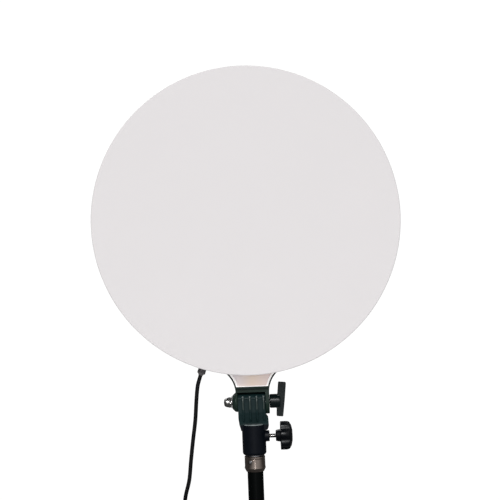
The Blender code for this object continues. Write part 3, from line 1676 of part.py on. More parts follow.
def lead_route():
    """From the plug, down beside the stand, to the coil's first loop. Chosen by hand, in metres."""
    start = rim_point(PANEL_RADIUS + 2 * SEAT_GAP + PLUG_LENGTH)
    end = coil_route()[0] + Vector((0, 0, SEAT_GAP))
    return [
        start,
        start + rim_direction() * 5 * MM,
        Vector((-0.0640, -0.0285, 0.3870)),
        Vector((-0.0660, -0.0285, 0.3710)),
        Vector((-0.0682, -0.0282, 0.3475)),
        Vector((-0.0718, -0.0276, 0.3240)),
        Vector((-0.0751, -0.0270, 0.3005)),
        Vector((-0.0781, -0.0262, 0.2772)),
        Vector((-0.0836, -0.0240, 0.2560)),
        Vector((-0.0850, -0.0200, 0.2360)),
        Vector((-0.0815, -0.0150, 0.2220)),
        Vector((-0.0757, -0.0102, 0.2090)),
        end + Vector((-0.0006, -0.0002, 0.0060)),
        end,
    ]


def tail_route():
    """From the coil's last loop, behind the tube, and up into the adapter. In metres."""
    start = coil_route()[-1] + Vector((SEAT_GAP, 0, 0))
    adapter_x = RISER_RADIUS + POLE_GAP + ADAPTER_DEPTH / 2
    end = Vector(
        (adapter_x, 0, ADAPTER_CENTRE_Z - ADAPTER_HEIGHT / 2 - RELIEF_LENGTH - SEAT_GAP)
    )
    return [
        start,
        start + Vector((0.0060, 0.0003, 0)),
        Vector((-0.0200, 0.0115, 0.1570)),
        Vector((-0.0105, 0.0138, 0.1490)),
        Vector((-0.0065, 0.0146, 0.1385)),
        Vector((-0.0055, 0.0145, 0.1275)),
        Vector((-0.0015, 0.0134, 0.1175)),
        Vector((0.0088, 0.0094, 0.1132)),
        Vector((0.0190, 0.0040, 0.1176)),
        Vector((0.0232, 0.0006, 0.1275)),
        end + Vector((0, 0, -0.0070)),
        end,
    ]


def build_lead(pan_axis):
    coil = coil_route()
    gap = least_self_gap(coil, COIL_MID_RADIUS * 2)
    print(f"least gap between the coil's turns: {gap / MM:.2f} mm")
    tube("dc_lead", smooth_route(lead_route(), LEAD_STEP), 2, pan_axis)
    tube("dc_lead_coil", coil, 1, pan_axis)
    tube("dc_lead_tail", smooth_route(tail_route(), LEAD_STEP * 0.7), 2, pan_axis)


def strap_outline(offset):
    """A loop round the coil, the tube and the adapter, as (x, y)."""
    inner = COIL_MID_RADIUS - COIL_PITCH * COIL_TURNS / COIL_LAYERS / 2
    left = coil_centre().x + math.sqrt(inner**2 - (STRAP_WIDTH / 2) ** 2)
    left_y = COIL_PITCH * (COIL_LAYERS - 1) / 2
    near = RISER_RADIUS + POLE_GAP + LEAD_RADIUS
    far = near + ADAPTER_DEPTH - 2 * LEAD_RADIUS
    right_y = ADAPTER_WIDTH / 2 - LEAD_RADIUS
    lean = math.atan2(right_y - left_y, near - left)
    radius = LEAD_RADIUS + offset
    quarter = math.pi / 2
    upper = [
        *arc(far, right_y, radius, 0, quarter, 5),
        *arc(near, right_y, radius, quarter, quarter + lean, 3),
        *arc(left, left_y, radius, quarter + lean, math.pi, 5),
    ]
    return upper + [(x, -y) for x, y in reversed(upper)]


def build_strap(pan_axis):
    gap = 2 * SEAT_GAP
    solid(
        "cable_strap",
        outline_mesh([strap_outline(gap + STRAP_THICKNESS), strap_outline(gap)], STRAP_WIDTH),
        "strap_nylon",
        (0, 0, COIL_CENTRE_Z),
        UPRIGHT,
        pan_axis,
    )


# Mains adapter


def build_adapter(pan_axis):
    """Two half cases beside the tube, with the pins on the outer half's far face."""
    near = RISER_RADIUS + POLE_GAP
    middle = near + ADAPTER_DEPTH / 2
    side = (math.pi / 2, 0, math.pi / 2)
    outline = rounded_rectangle(ADAPTER_WIDTH, ADAPTER_HEIGHT, ADAPTER_CORNER)
    inner_width = ADAPTER_WIDTH - 2 * ADAPTER_WALL
    inner_height = ADAPTER_HEIGHT - 2 * ADAPTER_WALL
    room = rounded_rectangle(inner_width, inner_height, ADAPTER_CORNER - ADAPTER_WALL)
    hollow = helper(
        "adapter_hollow",
        outline_mesh([room], ADAPTER_DEPTH - 2 * ADAPTER_WALL),
        (middle, 0, ADAPTER_CENTRE_Z),
        side,
    )
    bottom = ADAPTER_CENTRE_Z - ADAPTER_HEIGHT / 2
    relief_neck = RELIEF_RADIUS - RELIEF_NECK_DROP
    relief_hole = helper(
        "relief_hole",
        rod_mesh(relief_neck + SEAT_GAP, ADAPTER_WALL + 2 * CUT_REACH, SMALL_SIDES),
        (middle, 0, bottom - CUT_REACH),
    )
    for name, other_side in (("adapter_front_case", 1), ("adapter_rear_case", -1)):
        case = solid(
            name,
            outline_mesh([outline], ADAPTER_DEPTH),
            "lead_plastic",
            (middle, 0, ADAPTER_CENTRE_Z),
            side,
            pan_axis,
        )
        soften(case, ADAPTER_EDGE, 3)
        half = helper(
            f"{name}_cut",
            box_mesh((ADAPTER_DEPTH, 2 * ADAPTER_WIDTH, 2 * ADAPTER_HEIGHT)),
            (middle + other_side * (ADAPTER_DEPTH - SEAT_GAP) / 2, 0, ADAPTER_CENTRE_Z),
        )
        cut(case, half)
        cut(case, hollow)
        cut(case, relief_hole)
    far = near + ADAPTER_DEPTH
    for index, y in enumerate((-PIN_SPACING / 2, PIN_SPACING / 2)):
        hole = helper(
            f"pin_hole_{index + 1}",
            rod_mesh(PIN_RADIUS + SEAT_GAP, ADAPTER_WALL + 2 * CUT_REACH, SMALL_SIDES),
            (far - ADAPTER_WALL - CUT_REACH, y, PIN_Z),
            TO_RIGHT,
        )
        cut(case, hole)
        inside = ADAPTER_WALL + PIN_ROOT
        pin = solid(
            f"adapter_pin_{index + 1}",
            rod_mesh(PIN_RADIUS, PIN_REACH + inside, SMALL_SIDES),
            "chrome",
            (far - inside, y, PIN_Z),
            TO_RIGHT,
            pan_axis,
        )
        soften(pin, PIN_ROUNDING, 2)
    turned(
        "adapter_strain_relief",
        [
            (0, RELIEF_LENGTH + RELIEF_NECK_LENGTH),
            (relief_neck, RELIEF_LENGTH + RELIEF_NECK_LENGTH),
            (relief_neck, RELIEF_LENGTH - SEAT_GAP),
            (RELIEF_RADIUS, RELIEF_LENGTH - SEAT_GAP),
            (LEAD_RADIUS + RELIEF_LEAD_LIP, 0),
            (0, 0),
        ],
        "lead_plastic",
        (middle, 0, bottom - RELIEF_LENGTH),
        UPRIGHT,
        pan_axis,
        SMALL_SIDES,
    )
    board_x = near + ADAPTER_WALL + SEAT_GAP + ADAPTER_BOARD_THICKNESS / 2
    face = board_x + ADAPTER_BOARD_THICKNESS / 2 - JOIN_SINK
    board = solid(
        "adapter_board",
        box_mesh(
            (
                ADAPTER_BOARD_THICKNESS,
                inner_width - 2 * ADAPTER_BOARD_SIDE_GAP,
                inner_height - 2 * ADAPTER_BOARD_END_GAP,
            )
        ),
        "circuit_green",
        (board_x, 0, ADAPTER_CENTRE_Z + ADAPTER_BOARD_RISE),
        UPRIGHT,
        pan_axis,
    )
    core = helper(
        "adapter_transformer",
        box_mesh(TRANSFORMER_SIZE),
        (face + TRANSFORMER_SIZE[0] / 2, 0, ADAPTER_CENTRE_Z - TRANSFORMER_DROP),
    )
    join(board, core)
    store = helper(
        "adapter_capacitor",
        rod_mesh(STORE_CAPACITOR_RADIUS, STORE_CAPACITOR_LENGTH, SMALL_SIDES),
        (face, 0, ADAPTER_CENTRE_Z + STORE_CAPACITOR_RISE),
        TO_RIGHT,
    )
    join(board, store)


clear_scene()
parts = new_collection("led_soft_light")
cutters = new_collection("cutters")
pan = axis_marker("head_pan_axis", (0, 0, 0))
tilt = axis_marker("panel_tilt_axis", (0, 0, TILT_Z))
lever_turn = axis_marker("tilt_lever_axis", (FORK_HALF_WIDTH, 0, TILT_Z))
lock_turn = axis_marker("lock_screw_axis", (LOCK_BOSS_X, 0, LOCK_Z))

build_riser()
build_spigot()
build_head_base(pan)
build_lock(lock_turn)
build_tilt_bolt(tilt)
build_tilt_lever(lever_turn)
build_neck_housing(tilt)
build_housing_screws(tilt)
build_diffuser(tilt)
build_rear_shell(tilt)
build_light_stack(tilt)
build_controls(tilt)
build_jack_and_plug(tilt)
build_lead(pan)
build_strap(pan)
build_adapter(pan)
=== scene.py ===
import json
from math import asin, atan2, cos, exp, log, pi, radians, sin, sqrt, tan

import bmesh
import bpy
from mathutils import Matrix, Vector


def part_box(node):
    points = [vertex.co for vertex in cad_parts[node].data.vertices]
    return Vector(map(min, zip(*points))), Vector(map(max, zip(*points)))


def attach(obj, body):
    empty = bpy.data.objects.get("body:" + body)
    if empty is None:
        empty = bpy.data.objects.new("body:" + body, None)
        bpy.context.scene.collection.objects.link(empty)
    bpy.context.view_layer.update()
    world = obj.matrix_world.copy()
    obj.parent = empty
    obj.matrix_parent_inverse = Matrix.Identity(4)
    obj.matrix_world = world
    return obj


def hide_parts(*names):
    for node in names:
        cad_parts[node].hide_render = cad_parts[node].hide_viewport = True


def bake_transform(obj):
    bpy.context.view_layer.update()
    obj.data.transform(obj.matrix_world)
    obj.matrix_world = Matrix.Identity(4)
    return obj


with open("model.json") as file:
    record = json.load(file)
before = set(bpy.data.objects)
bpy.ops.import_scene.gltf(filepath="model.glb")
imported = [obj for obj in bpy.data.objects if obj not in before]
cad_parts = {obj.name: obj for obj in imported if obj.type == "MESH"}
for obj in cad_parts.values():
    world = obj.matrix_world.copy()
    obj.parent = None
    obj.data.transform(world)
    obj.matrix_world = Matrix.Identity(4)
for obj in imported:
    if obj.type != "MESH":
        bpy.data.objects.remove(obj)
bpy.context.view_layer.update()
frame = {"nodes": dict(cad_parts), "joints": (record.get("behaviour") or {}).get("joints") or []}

# Studio
# The light stands on a round pale floor that fades into a white room. One broad lamp, high in
# front, gives the short highlights on the plastic, a narrow upright strip draws a line of light on
# each round piece, a soft lamp behind lights the back, and the room's pale dome does the rest.
FLOOR_RADIUS = 1.15
PAPER_WHITE = (1, 1, 1, 1)
PAPER_STRENGTH = 1.05
BRIGHTEST_SIDE = (0.16, -0.6, 0.78)
KEY_LAMP_SIDE = (-0.121724, -0.866108, 0.48481)
RIM_LAMP_SIDE = (-0.35, 0.7, 0.62)


def add_node(tree, kind, **settings):
    """A shader node, with its inputs set by name."""
    node = tree.nodes.new("ShaderNode" + kind)
    for name, value in settings.items():
        node.inputs[name.replace("_", " ")].default_value = value
    return node


def link(tree, *wires):
    """Wires up a shader. Each wire is a node, its output, the next node and its input."""
    for first, output, second, entry in wires:
        tree.links.new(first.outputs[output], second.inputs[entry])


def new_object(name, data):
    obj = bpy.data.objects.new(name, data)
    bpy.context.scene.collection.objects.link(obj)
    return obj


def sun(name, strength, width, side):
    """A far lamp on the given side. The wider it is, the softer are its shadows."""
    lamp = new_object(name, bpy.data.lights.new(name, "SUN"))
    lamp.data.energy = strength
    lamp.data.angle = radians(width)
    lamp.rotation_euler = Vector(side).to_track_quat("Z", "Y").to_euler()


room = bpy.data.worlds.new("white_room")
room.use_nodes = True
bpy.context.scene.world = room
sky = room.node_tree
sky.nodes.clear()
direction = add_node(sky, "TexCoord")
height = add_node(sky, "VectorMath")
height.operation = "DOT_PRODUCT"
height.inputs[1].default_value = BRIGHTEST_SIDE
dome = add_node(sky, "MapRange", From_Min=-1, From_Max=1, To_Min=0.42, To_Max=0.85)
softbox = add_node(sky, "MapRange", From_Min=0.05, From_Max=0.9, To_Min=0.1, To_Max=0.9)
softbox.interpolation_type = "SMOOTHSTEP"
chosen = add_node(sky, "Mix")
glow = add_node(sky, "Background", Color=PAPER_WHITE)
white = add_node(sky, "Background", Color=PAPER_WHITE, Strength=PAPER_STRENGTH)
seen = add_node(sky, "LightPath")
mixed = add_node(sky, "MixShader")
link(
    sky,
    (direction, "Generated", height, 0),
    (height, "Value", dome, "Value"),
    (height, "Value", softbox, "Value"),
    (seen, "Is Glossy Ray", chosen, 0),
    (dome, "Result", chosen, 2),
    (softbox, "Result", chosen, 3),
    (chosen, 0, glow, "Strength"),
    (seen, "Is Camera Ray", mixed, "Fac"),
    (glow, 0, mixed, 1), (white, 0, mixed, 2),
    (mixed, 0, add_node(sky, "OutputWorld"), "Surface"),
)

sun("key_lamp", 2.05, 9, KEY_LAMP_SIDE)
sun("rim_lamp", 1.1, 25, RIM_LAMP_SIDE)
strip = new_object("strip_lamp", bpy.data.lights.new("strip_lamp", "AREA"))
strip.data.shape = "RECTANGLE"
strip.data.size = 0.05
strip.data.size_y = 1.4
strip.data.energy = 3.5
strip.location = (0.02, -2.3, 0.85)
strip.rotation_euler = (radians(80), 0, 0)

floor_shape = bmesh.new()
bmesh.ops.create_circle(floor_shape, cap_ends=True, radius=FLOOR_RADIUS, segments=96)
floor_mesh = bpy.data.meshes.new("studio_floor")
floor_shape.to_mesh(floor_mesh)
floor_shape.free()
studio_floor = new_object("studio_floor", floor_mesh)
studio_floor.visible_glossy = False
pale = bpy.data.materials.new("pale_floor")
pale.use_nodes = True
floor_mesh.materials.append(pale)
floor_tree = pale.node_tree
floor_paint = floor_tree.nodes["Principled BSDF"]
floor_paint.inputs["Base Color"].default_value = (0.86, 0.86, 0.86, 1)
floor_paint.inputs["Roughness"].default_value = 0.9
floor_place = add_node(floor_tree, "TexCoord")
floor_reach = add_node(floor_tree, "VectorMath")
floor_reach.operation = "LENGTH"
floor_fade = add_node(
    floor_tree, "MapRange", From_Min=0.35 * FLOOR_RADIUS, From_Max=0.97 * FLOOR_RADIUS
)
floor_white = add_node(floor_tree, "Emission", Color=PAPER_WHITE, Strength=PAPER_STRENGTH)
floor_mix = add_node(floor_tree, "MixShader")
link(
    floor_tree,
    (floor_place, "Object", floor_reach, 0),
    (floor_reach, "Value", floor_fade, "Value"),
    (floor_fade, "Result", floor_mix, "Fac"),
    (floor_paint, 0, floor_mix, 1), (floor_white, 0, floor_mix, 2),
    (floor_mix, 0, floor_tree.nodes["Material Output"], "Surface"),
)
bpy.context.scene.view_settings.view_transform = "Standard"

# Camera
# It looks level along +Y from 1.5 m in front of the panel, a little below the panel's centre.
# It is rolled clockwise, because the light leans to the left in the photograph.
MM = 0.001
CAMERA_PLACE = Vector((3.7, -1548, 545)) * MM
CAMERA_ROLL = -2.2


def rotation(degrees, axis):
    return Matrix.Rotation(radians(degrees), 4, axis)


camera = new_object("camera", bpy.data.cameras.new("camera"))
camera.data.sensor_width = 36
camera.data.lens = 93.1
camera.matrix_world = Matrix.Translation(CAMERA_PLACE) @ rotation(90, "X") @ rotation(CAMERA_ROLL, "Z")
bpy.context.scene.camera = camera

# Top section of the stand
# A thin steel tube with a satin black powder coat, which carries fine rub marks along its
# length where it slides in the next section. A moulded bush closes its lower end.
TURN = 2 * pi
NO_TURN = Matrix.Identity(4)
TUBE_RADIUS = 9.5
TUBE_WALL = 1.2
BUSH_RADIUS = 10.7
GAP = 0.3
GLOSS_DRIFT = 0.07
RUB_MARKS = (1, 1, 0.06)
LEAST_CORNER = radians(18)


def span(node, axis):
    """Where a CAD node starts and ends along an axis, in millimetres, the unit from here on."""
    return [getattr(corner, axis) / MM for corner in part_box(node)]


def shifted(x, y, *points):
    """The points, each measured from the corner (x, y)."""
    return [(x + across, y + up) for across, up in points]


def rounded(points, radius, closed=True, steps=3):
    """The outline with each corner rounded, by less than half of its shorter side."""
    result = []
    for index, (x, y) in enumerate(points):
        here = Vector((x, y))
        before = Vector(points[index - 1]) - here
        after = Vector(points[(index + 1) % len(points)]) - here
        line_end = not closed and index in (0, len(points) - 1)
        bend = 0 if line_end else pi - before.angle(after)
        if bend < LEAST_CORNER:
            result.append((x, y))
            continue
        reach = min(radius * tan(bend / 2), 0.48 * before.length, 0.48 * after.length)
        start = here + before.normalized() * reach
        end = here + after.normalized() * reach
        for step in range(steps + 1):
            share = step / steps
            result.append(tuple(start.lerp(here, share).lerp(here.lerp(end, share), share)))
    return result


def arc(centre_x, centre_y, radius, start, end, count):
    """Points along an arc, both ends included."""
    angles = [start + (end - start) * index / (count - 1) for index in range(count)]
    return [(centre_x + radius * cos(a), centre_y + radius * sin(a)) for a in angles]


def finished_mesh(shape, sharp=35):
    """The shape as a mesh, smooth except at edges sharper than the given angle."""
    mesh = bpy.data.meshes.new("shape")
    shape.to_mesh(mesh)
    shape.free()
    mesh.shade_smooth()
    mesh.set_sharp_from_angle(angle=radians(sharp))
    return mesh


def turned(profile, sides=96, edge=0.3):
    """A turned shape about +Z, from the (radius, height) corners of its half section."""
    closed = all(radius > 0 for radius, height in profile)
    line = rounded(profile, edge, closed)
    shape = bmesh.new()
    corners = [shape.verts.new((radius * MM, 0, height * MM)) for radius, height in line]
    edges = [shape.edges.new(pair) for pair in zip(corners, corners[1:])]
    if closed:
        edges.append(shape.edges.new((corners[-1], corners[0])))
    bmesh.ops.spin(shape, geom=corners + edges, cent=(0, 0, 0), axis=(0, 0, 1), angle=TURN, steps=sides)
    bmesh.ops.remove_doubles(shape, verts=shape.verts, dist=0.002 * MM)
    bmesh.ops.recalc_face_normals(shape, faces=shape.faces)
    return finished_mesh(shape)


def rod(radius, start, end, sides=32, edge=0):
    """A plain round bar along Z, from start to end."""
    return turned([(0, end), (radius, end), (radius, start), (0, start)], sides, edge)


def pipe(outer, inner, start, end, sides=96, edge=0.3):
    """A bar with a hole through it."""
    return turned([(outer, end), (outer, start), (inner, start), (inner, end)], sides, edge)


def put(obj, place, turn):
    """Sets the object down at a place in millimetres, turned by a matrix."""
    obj.location = [value * MM for value in place]
    obj.rotation_euler = turn.to_euler()
    return obj


def made_of(name, mesh, material, body, slot, node=None, place=(0, 0, 0), turn=NO_TURN):
    """A piece in its place, riding on its body and standing in for its CAD node."""
    mesh.name = name
    mesh.materials.clear()
    mesh.materials.append(material)
    obj = put(new_object(name, mesh), place, turn)
    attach(obj, body)
    if node:
        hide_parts(node)
    return obj


def surface(
    name, colour, roughness, grain, depth, metallic=0, drift=0.1, patch=12, stretch=(1, 1, 1), gleam=0.5
):
    """A finish with fine grain, and with slow drift in its colour and gloss."""
    material = bpy.data.materials.new(name)
    material.use_nodes = True
    tree = material.node_tree
    shader = tree.nodes["Principled BSDF"]
    shader.inputs["Metallic"].default_value = metallic
    shader.inputs["Specular IOR Level"].default_value = gleam
    place = add_node(tree, "TexCoord")
    scale = add_node(tree, "Mapping", Scale=stretch)
    slow = add_node(tree, "TexNoise", Scale=1 / (patch * MM), Detail=4)
    fine = add_node(tree, "TexNoise", Scale=1 / (grain * MM), Detail=3)
    paint = add_node(tree, "Mix")
    paint.data_type = "RGBA"
    for entry, change in ((6, 1 - drift), (7, 1 + drift)):
        paint.inputs[entry].default_value = (*[min(channel * change, 1) for channel in colour], 1)
    gloss = add_node(tree, "MapRange", To_Min=roughness - GLOSS_DRIFT, To_Max=roughness + GLOSS_DRIFT)
    bump = add_node(tree, "Bump", Strength=1, Distance=depth * MM)
    link(
        tree,
        (place, "Object", scale, "Vector"),
        (place, "Object", slow, "Vector"),
        (scale, "Vector", fine, "Vector"),
        (slow, "Fac", paint, "Factor"),
        (slow, "Fac", gloss, "Value"),
        (fine, "Fac", bump, "Height"),
        (paint, 2, shader, "Base Color"),
        (gloss, "Result", shader, "Roughness"),
        (bump, "Normal", shader, "Normal"),
    )
    return material


TUBE_BOTTOM, TUBE_TOP = span("riser_tube", "z")
powder_coat = surface("powder_coat", (0.0008, 0.0012, 0.0012), 0.3, 0.5, 0.02, stretch=RUB_MARKS, gleam=0.04)
tube_inner = TUBE_RADIUS - TUBE_WALL
tube_mesh = pipe(TUBE_RADIUS, tube_inner, TUBE_BOTTOM, TUBE_TOP)
made_of("riser_tube_skin", tube_mesh, powder_coat, "riser", "black_paint", "riser_tube")

soft_black = surface("soft_black_plastic", (0.012, 0.012, 0.013), 0.5, 0.35, 0.02)
plug_top = span("riser_end_bush", "z")[1]
bush_plug = tube_inner - GAP
bush_flange = TUBE_BOTTOM - GAP
bush_section = [
    *shifted(bush_plug, plug_top, (-bush_plug, 0), (-1, 0), (0, -1)), (bush_plug, bush_flange),
    *shifted(BUSH_RADIUS, bush_flange, (-0.5, 0), (0, -0.5), (0, -2), (-0.4, -2.4), (-0.4, -3.2), (0, -3.6)),
    *shifted(BUSH_RADIUS, 0, (0, 0.8), (-0.8, 0), (-BUSH_RADIUS, 0)),
]
made_of("end_bush", turned(bush_section), soft_black, "riser", "lead_plastic", "riser_end_bush")

# Spigot and collar
# A turned steel stud stands on the tube's top and fits the head's socket. A nickel-plated
# collar, turned from brass bar, is pressed round the joint and held by a small set screw.
COLLAR_BOTTOM, COLLAR_TOP = span("spigot_collar", "z")
COLLAR_RADIUS = 12.3
SPIGOT_BOTTOM, SPIGOT_TOP = span("stand_spigot", "z")
SPIGOT_RADIUS = 8
HALF_WAIST = 7
LOCK_HEIGHT = 322
SET_SCREW_RADIUS = 2
SET_SCREW_HEIGHT = TUBE_TOP + 4.5
SET_SCREW_ANGLE = radians(-119)


def settle(obj, sharp=30):
    """Keeps the shape that the modifiers give, without the modifiers and their cutters."""
    bpy.context.view_layer.update()
    graph = bpy.context.evaluated_depsgraph_get()
    mesh = bpy.data.meshes.new_from_object(obj.evaluated_get(graph))
    cutters = [m.object for m in obj.modifiers if m.type == "BOOLEAN"]
    obj.modifiers.clear()
    obj.data = mesh
    for cutter in cutters:
        bpy.data.objects.remove(cutter)
    mesh.shade_smooth()
    mesh.set_sharp_from_angle(angle=radians(sharp))


def cut(obj, mesh, place=(0, 0, 0), turn=NO_TURN, operation="DIFFERENCE"):
    """Cuts a shape out of the piece. settle() makes the cut real."""
    cutter = put(new_object("cutter", mesh), place, turn)
    cutter.hide_render = True
    modifier = obj.modifiers.new("cut", "BOOLEAN")
    modifier.object = cutter
    modifier.operation = operation
    modifier.solver = "EXACT"


def join(obj, mesh, place=(0, 0, 0), turn=NO_TURN):
    """Joins a shape on, in the same way."""
    cut(obj, mesh, place, turn, "UNION")


bright_steel = surface("bright_steel", (0.5, 0.5, 0.52), 0.32, 0.25, 0.004, 1, stretch=(1, 1, 8))
spigot_foot = TUBE_TOP + GAP
spigot_step = spigot_foot + 6
spigot_section = [
    (0, SPIGOT_TOP), *shifted(SPIGOT_RADIUS, SPIGOT_TOP, (-1.5, 0), (0, -1.5)),
    *shifted(SPIGOT_RADIUS, LOCK_HEIGHT + HALF_WAIST, (0, 1), (-1, 0)),
    *shifted(SPIGOT_RADIUS, LOCK_HEIGHT - HALF_WAIST, (-1, 0), (0, -1)),
    (SPIGOT_RADIUS, spigot_step), (TUBE_RADIUS, spigot_step), (TUBE_RADIUS, spigot_foot),
    (bush_plug, spigot_foot), (bush_plug, SPIGOT_BOTTOM), (0, SPIGOT_BOTTOM),
]
made_of("spigot", turned(spigot_section), bright_steel, "riser", "steel", "stand_spigot")

nickel = surface("nickel_plate", (0.27, 0.225, 0.2), 0.2, 0.12, 0.006, 1, 0.3, 5, (0.1, 0.1, 6))
collar_inner = TUBE_RADIUS + GAP
collar_step = spigot_step + GAP
collar_section = [
    *shifted(COLLAR_RADIUS, COLLAR_TOP, (-0.7, 0), (0, -0.7)),
    *shifted(COLLAR_RADIUS, COLLAR_TOP, (0, -3), (-0.25, -3.2), (-0.25, -3.7), (0, -3.9)),
    *shifted(COLLAR_RADIUS, COLLAR_BOTTOM, (0, 6.5), (0.4, 4.2)),
    *shifted(collar_inner, COLLAR_BOTTOM, (0.8, 0), (0, 0)), (collar_inner, collar_step),
    (SPIGOT_RADIUS + GAP, collar_step), (SPIGOT_RADIUS + GAP, COLLAR_TOP),
]
collar = made_of("collar", turned(collar_section, 128, 0.15), nickel, "riser", "nickel", "spigot_collar")
outward = Vector((cos(SET_SCREW_ANGLE), sin(SET_SCREW_ANGLE), 0))
screw_turn = outward.to_track_quat("Z", "Y")
screw_foot = outward * collar_inner + Vector((0, 0, SET_SCREW_HEIGHT))
cut(collar, rod(SET_SCREW_RADIUS + GAP, -1, 6, 24, 0.3), screw_foot, screw_turn)
settle(collar)
screw_length = COLLAR_RADIUS - collar_inner - GAP
screw_section = [
    (0, screw_length), *shifted(SET_SCREW_RADIUS, screw_length, (-0.3, 0), (0, -0.3)),
    (SET_SCREW_RADIUS, 0), (0, 0),
]
screw_mesh = turned(screw_section, 36, 0.1)
set_screw = made_of(
    "set_screw", screw_mesh, bright_steel, "riser", "steel", "collar_set_screw", screw_foot, screw_turn
)
cut(set_screw, rod(1.05, 0.9, 2, 6), screw_foot, screw_turn)
settle(set_screw)

# Tilt head
# One moulding in glass-filled nylon: a barrel for the tilt bolt, a column with four ribs on each
# face, and a round socket that drops over the spigot, darker and bluer as painted shade. All its
# edges are moulded round, and the step, rib ends and rib crests are paler as painted highlights.
TILT_HEIGHT = next(joint["pos_m"][2] for joint in frame["joints"] if joint["name"] == "panel_tilt") / MM
BARREL_RADIUS = 11.5
BARREL_LEFT = span("head_base", "x")[0] - 0.2
BARREL_RIGHT = span("right_friction_washer", "x")[1] + 0.2
COLUMN_DEPTH = 10
COLUMN_FOOT_DEPTH = 7.5
SOCKET_RADIUS = 14.2
SOCKET_BOTTOM = span("head_base", "z")[0]
SOCKET_TOP = SOCKET_BOTTOM + 37.4
SOCKET_EDGE = 3.5
SHOULDER_RIGHT = 18.2
RIB_WIDTH = 1.9
RIB_PITCH = 8.2
RIB_FIRST = -11.7
RIB_CREST = 12.3
RIB_TOP = 6.8
FLAT_TOP = 4.5
LOCK_BOSS_RADIUS = 6.6
WASHER_SEAT_RADIUS = 9.8
WASHER_SEAT_DEPTH = 1.2
BOLT_BORE = 3.35
INSERT_BORE = 4.6
SKIN_STEP = 0.34
RIGHTWARD = rotation(90, "Y")
LEFTWARD = rotation(-90, "Y")
FORWARD = rotation(90, "X")
BACKWARD = rotation(-90, "X")
SIDEWAYS = rotation(90, "Z") @ FORWARD


def plate(outline, thickness, edge=0):
    """A flat plate in the XY plane, centred on it, with rounded edges on both sides."""
    shape = bmesh.new()
    face = shape.faces.new([shape.verts.new((x * MM, y * MM, -thickness * MM / 2)) for x, y in outline])
    grown = bmesh.ops.extrude_face_region(shape, geom=[face])
    far_side = [item for item in grown["geom"] if isinstance(item, bmesh.types.BMVert)]
    bmesh.ops.translate(shape, vec=(0, 0, thickness * MM), verts=far_side)
    bmesh.ops.recalc_face_normals(shape, faces=shape.faces)
    if edge:
        rims = [item for item in shape.edges if item.verts[0].co.z == item.verts[1].co.z]
        bmesh.ops.bevel(
            shape, geom=rims, offset=edge * MM, segments=3, profile=0.5, affect="EDGES", clamp_overlap=True
        )
    return finished_mesh(shape)


def moulded(obj):
    """Fuses the joined shapes into one skin with a small fillet at every edge."""
    skin = obj.modifiers.new("skin", "REMESH")
    skin.mode = "VOXEL"
    skin.voxel_size = SKIN_STEP * MM
    fillets = obj.modifiers.new("fillets", "SMOOTH")
    fillets.factor = 0.5
    fillets.iterations = 3
    settle(obj, 60)


tilt_axis = (0, 0, TILT_HEIGHT)
barrel_end = (BARREL_LEFT, 0, TILT_HEIGHT)
barrel_length = BARREL_RIGHT - BARREL_LEFT
head_nylon = surface(
    "head_nylon", (0.0042, 0.0135, 0.0145), 0.42, 0.5, 0.035, drift=0.3, patch=9, gleam=0.15
)
barrel = rod(BARREL_RADIUS, 0, barrel_length, 64)
head = made_of(
    "head_moulding", barrel, head_nylon, "head", "head_plastic", "head_base", barrel_end, RIGHTWARD
)
column_foot = SOCKET_BOTTOM + 31 - TILT_HEIGHT
column_outline = [
    (BARREL_LEFT, 0),
    *shifted(BARREL_LEFT, column_foot, (0, 13.5), (0.9, 6), (2.6, 0), (2.6, -1.2)),
    *shifted(SHOULDER_RIGHT, column_foot, (-2.2, -1.2), (-0.6, 1.5), (0, 4.5), (-0.3, 13)),
    (BARREL_RIGHT, column_foot + 17.2), (BARREL_RIGHT, 0),
]
join(head, plate(rounded(column_outline, 2.5), 2 * COLUMN_DEPTH), tilt_axis, FORWARD)
step_height = SOCKET_TOP - TILT_HEIGHT
slope_front = [
    (-COLUMN_DEPTH - 4, FLAT_TOP), (-COLUMN_DEPTH, FLAT_TOP), (-COLUMN_DEPTH, -12),
    (-COLUMN_FOOT_DEPTH, step_height + 1), (-COLUMN_FOOT_DEPTH, step_height - 9),
    (-COLUMN_DEPTH - 4, step_height - 9),
]
rib_front = [
    (-5, RIB_TOP),
    *arc(0, 0, RIB_CREST, pi - asin(RIB_TOP / RIB_CREST), pi, 9),
    (-RIB_CREST, -11), (-COLUMN_DEPTH - 0.8, -20), (-COLUMN_DEPTH + 0.6, -22.5), (-5, -23),
]


def front_or_back(outline, way):
    """The side view as it is for the front, or mirrored for the back."""
    return [(way * y, z) for y, z in outline][::way]


for way in (1, -1):
    cut(head, plate(front_or_back(slope_front, way), 50), tilt_axis, SIDEWAYS)
for index in range(4):
    for way in (1, -1):
        rib = plate(front_or_back(rib_front, way), RIB_WIDTH)
        join(head, rib, (RIB_FIRST + index * RIB_PITCH, 0, TILT_HEIGHT), SIDEWAYS)
socket_section = [
    (0, SOCKET_TOP), (SOCKET_RADIUS, SOCKET_TOP),
    *arc(SOCKET_RADIUS - SOCKET_EDGE, SOCKET_BOTTOM + SOCKET_EDGE, SOCKET_EDGE, 0, -pi / 2, 7),
    (0, SOCKET_BOTTOM),
]
join(head, turned(socket_section, 64, 0))
boss_root = SOCKET_RADIUS - 3.2
boss_length = span("lock_insert", "x")[1] - boss_root
join(head, rod(LOCK_BOSS_RADIUS, 0, boss_length, 40, 0.6), (boss_root, 0, LOCK_HEIGHT), RIGHTWARD)
cut(head, rod(SPIGOT_RADIUS + 0.35, SOCKET_BOTTOM - 3, SPIGOT_TOP + GAP, 48))
right_seat = barrel_length - WASHER_SEAT_DEPTH
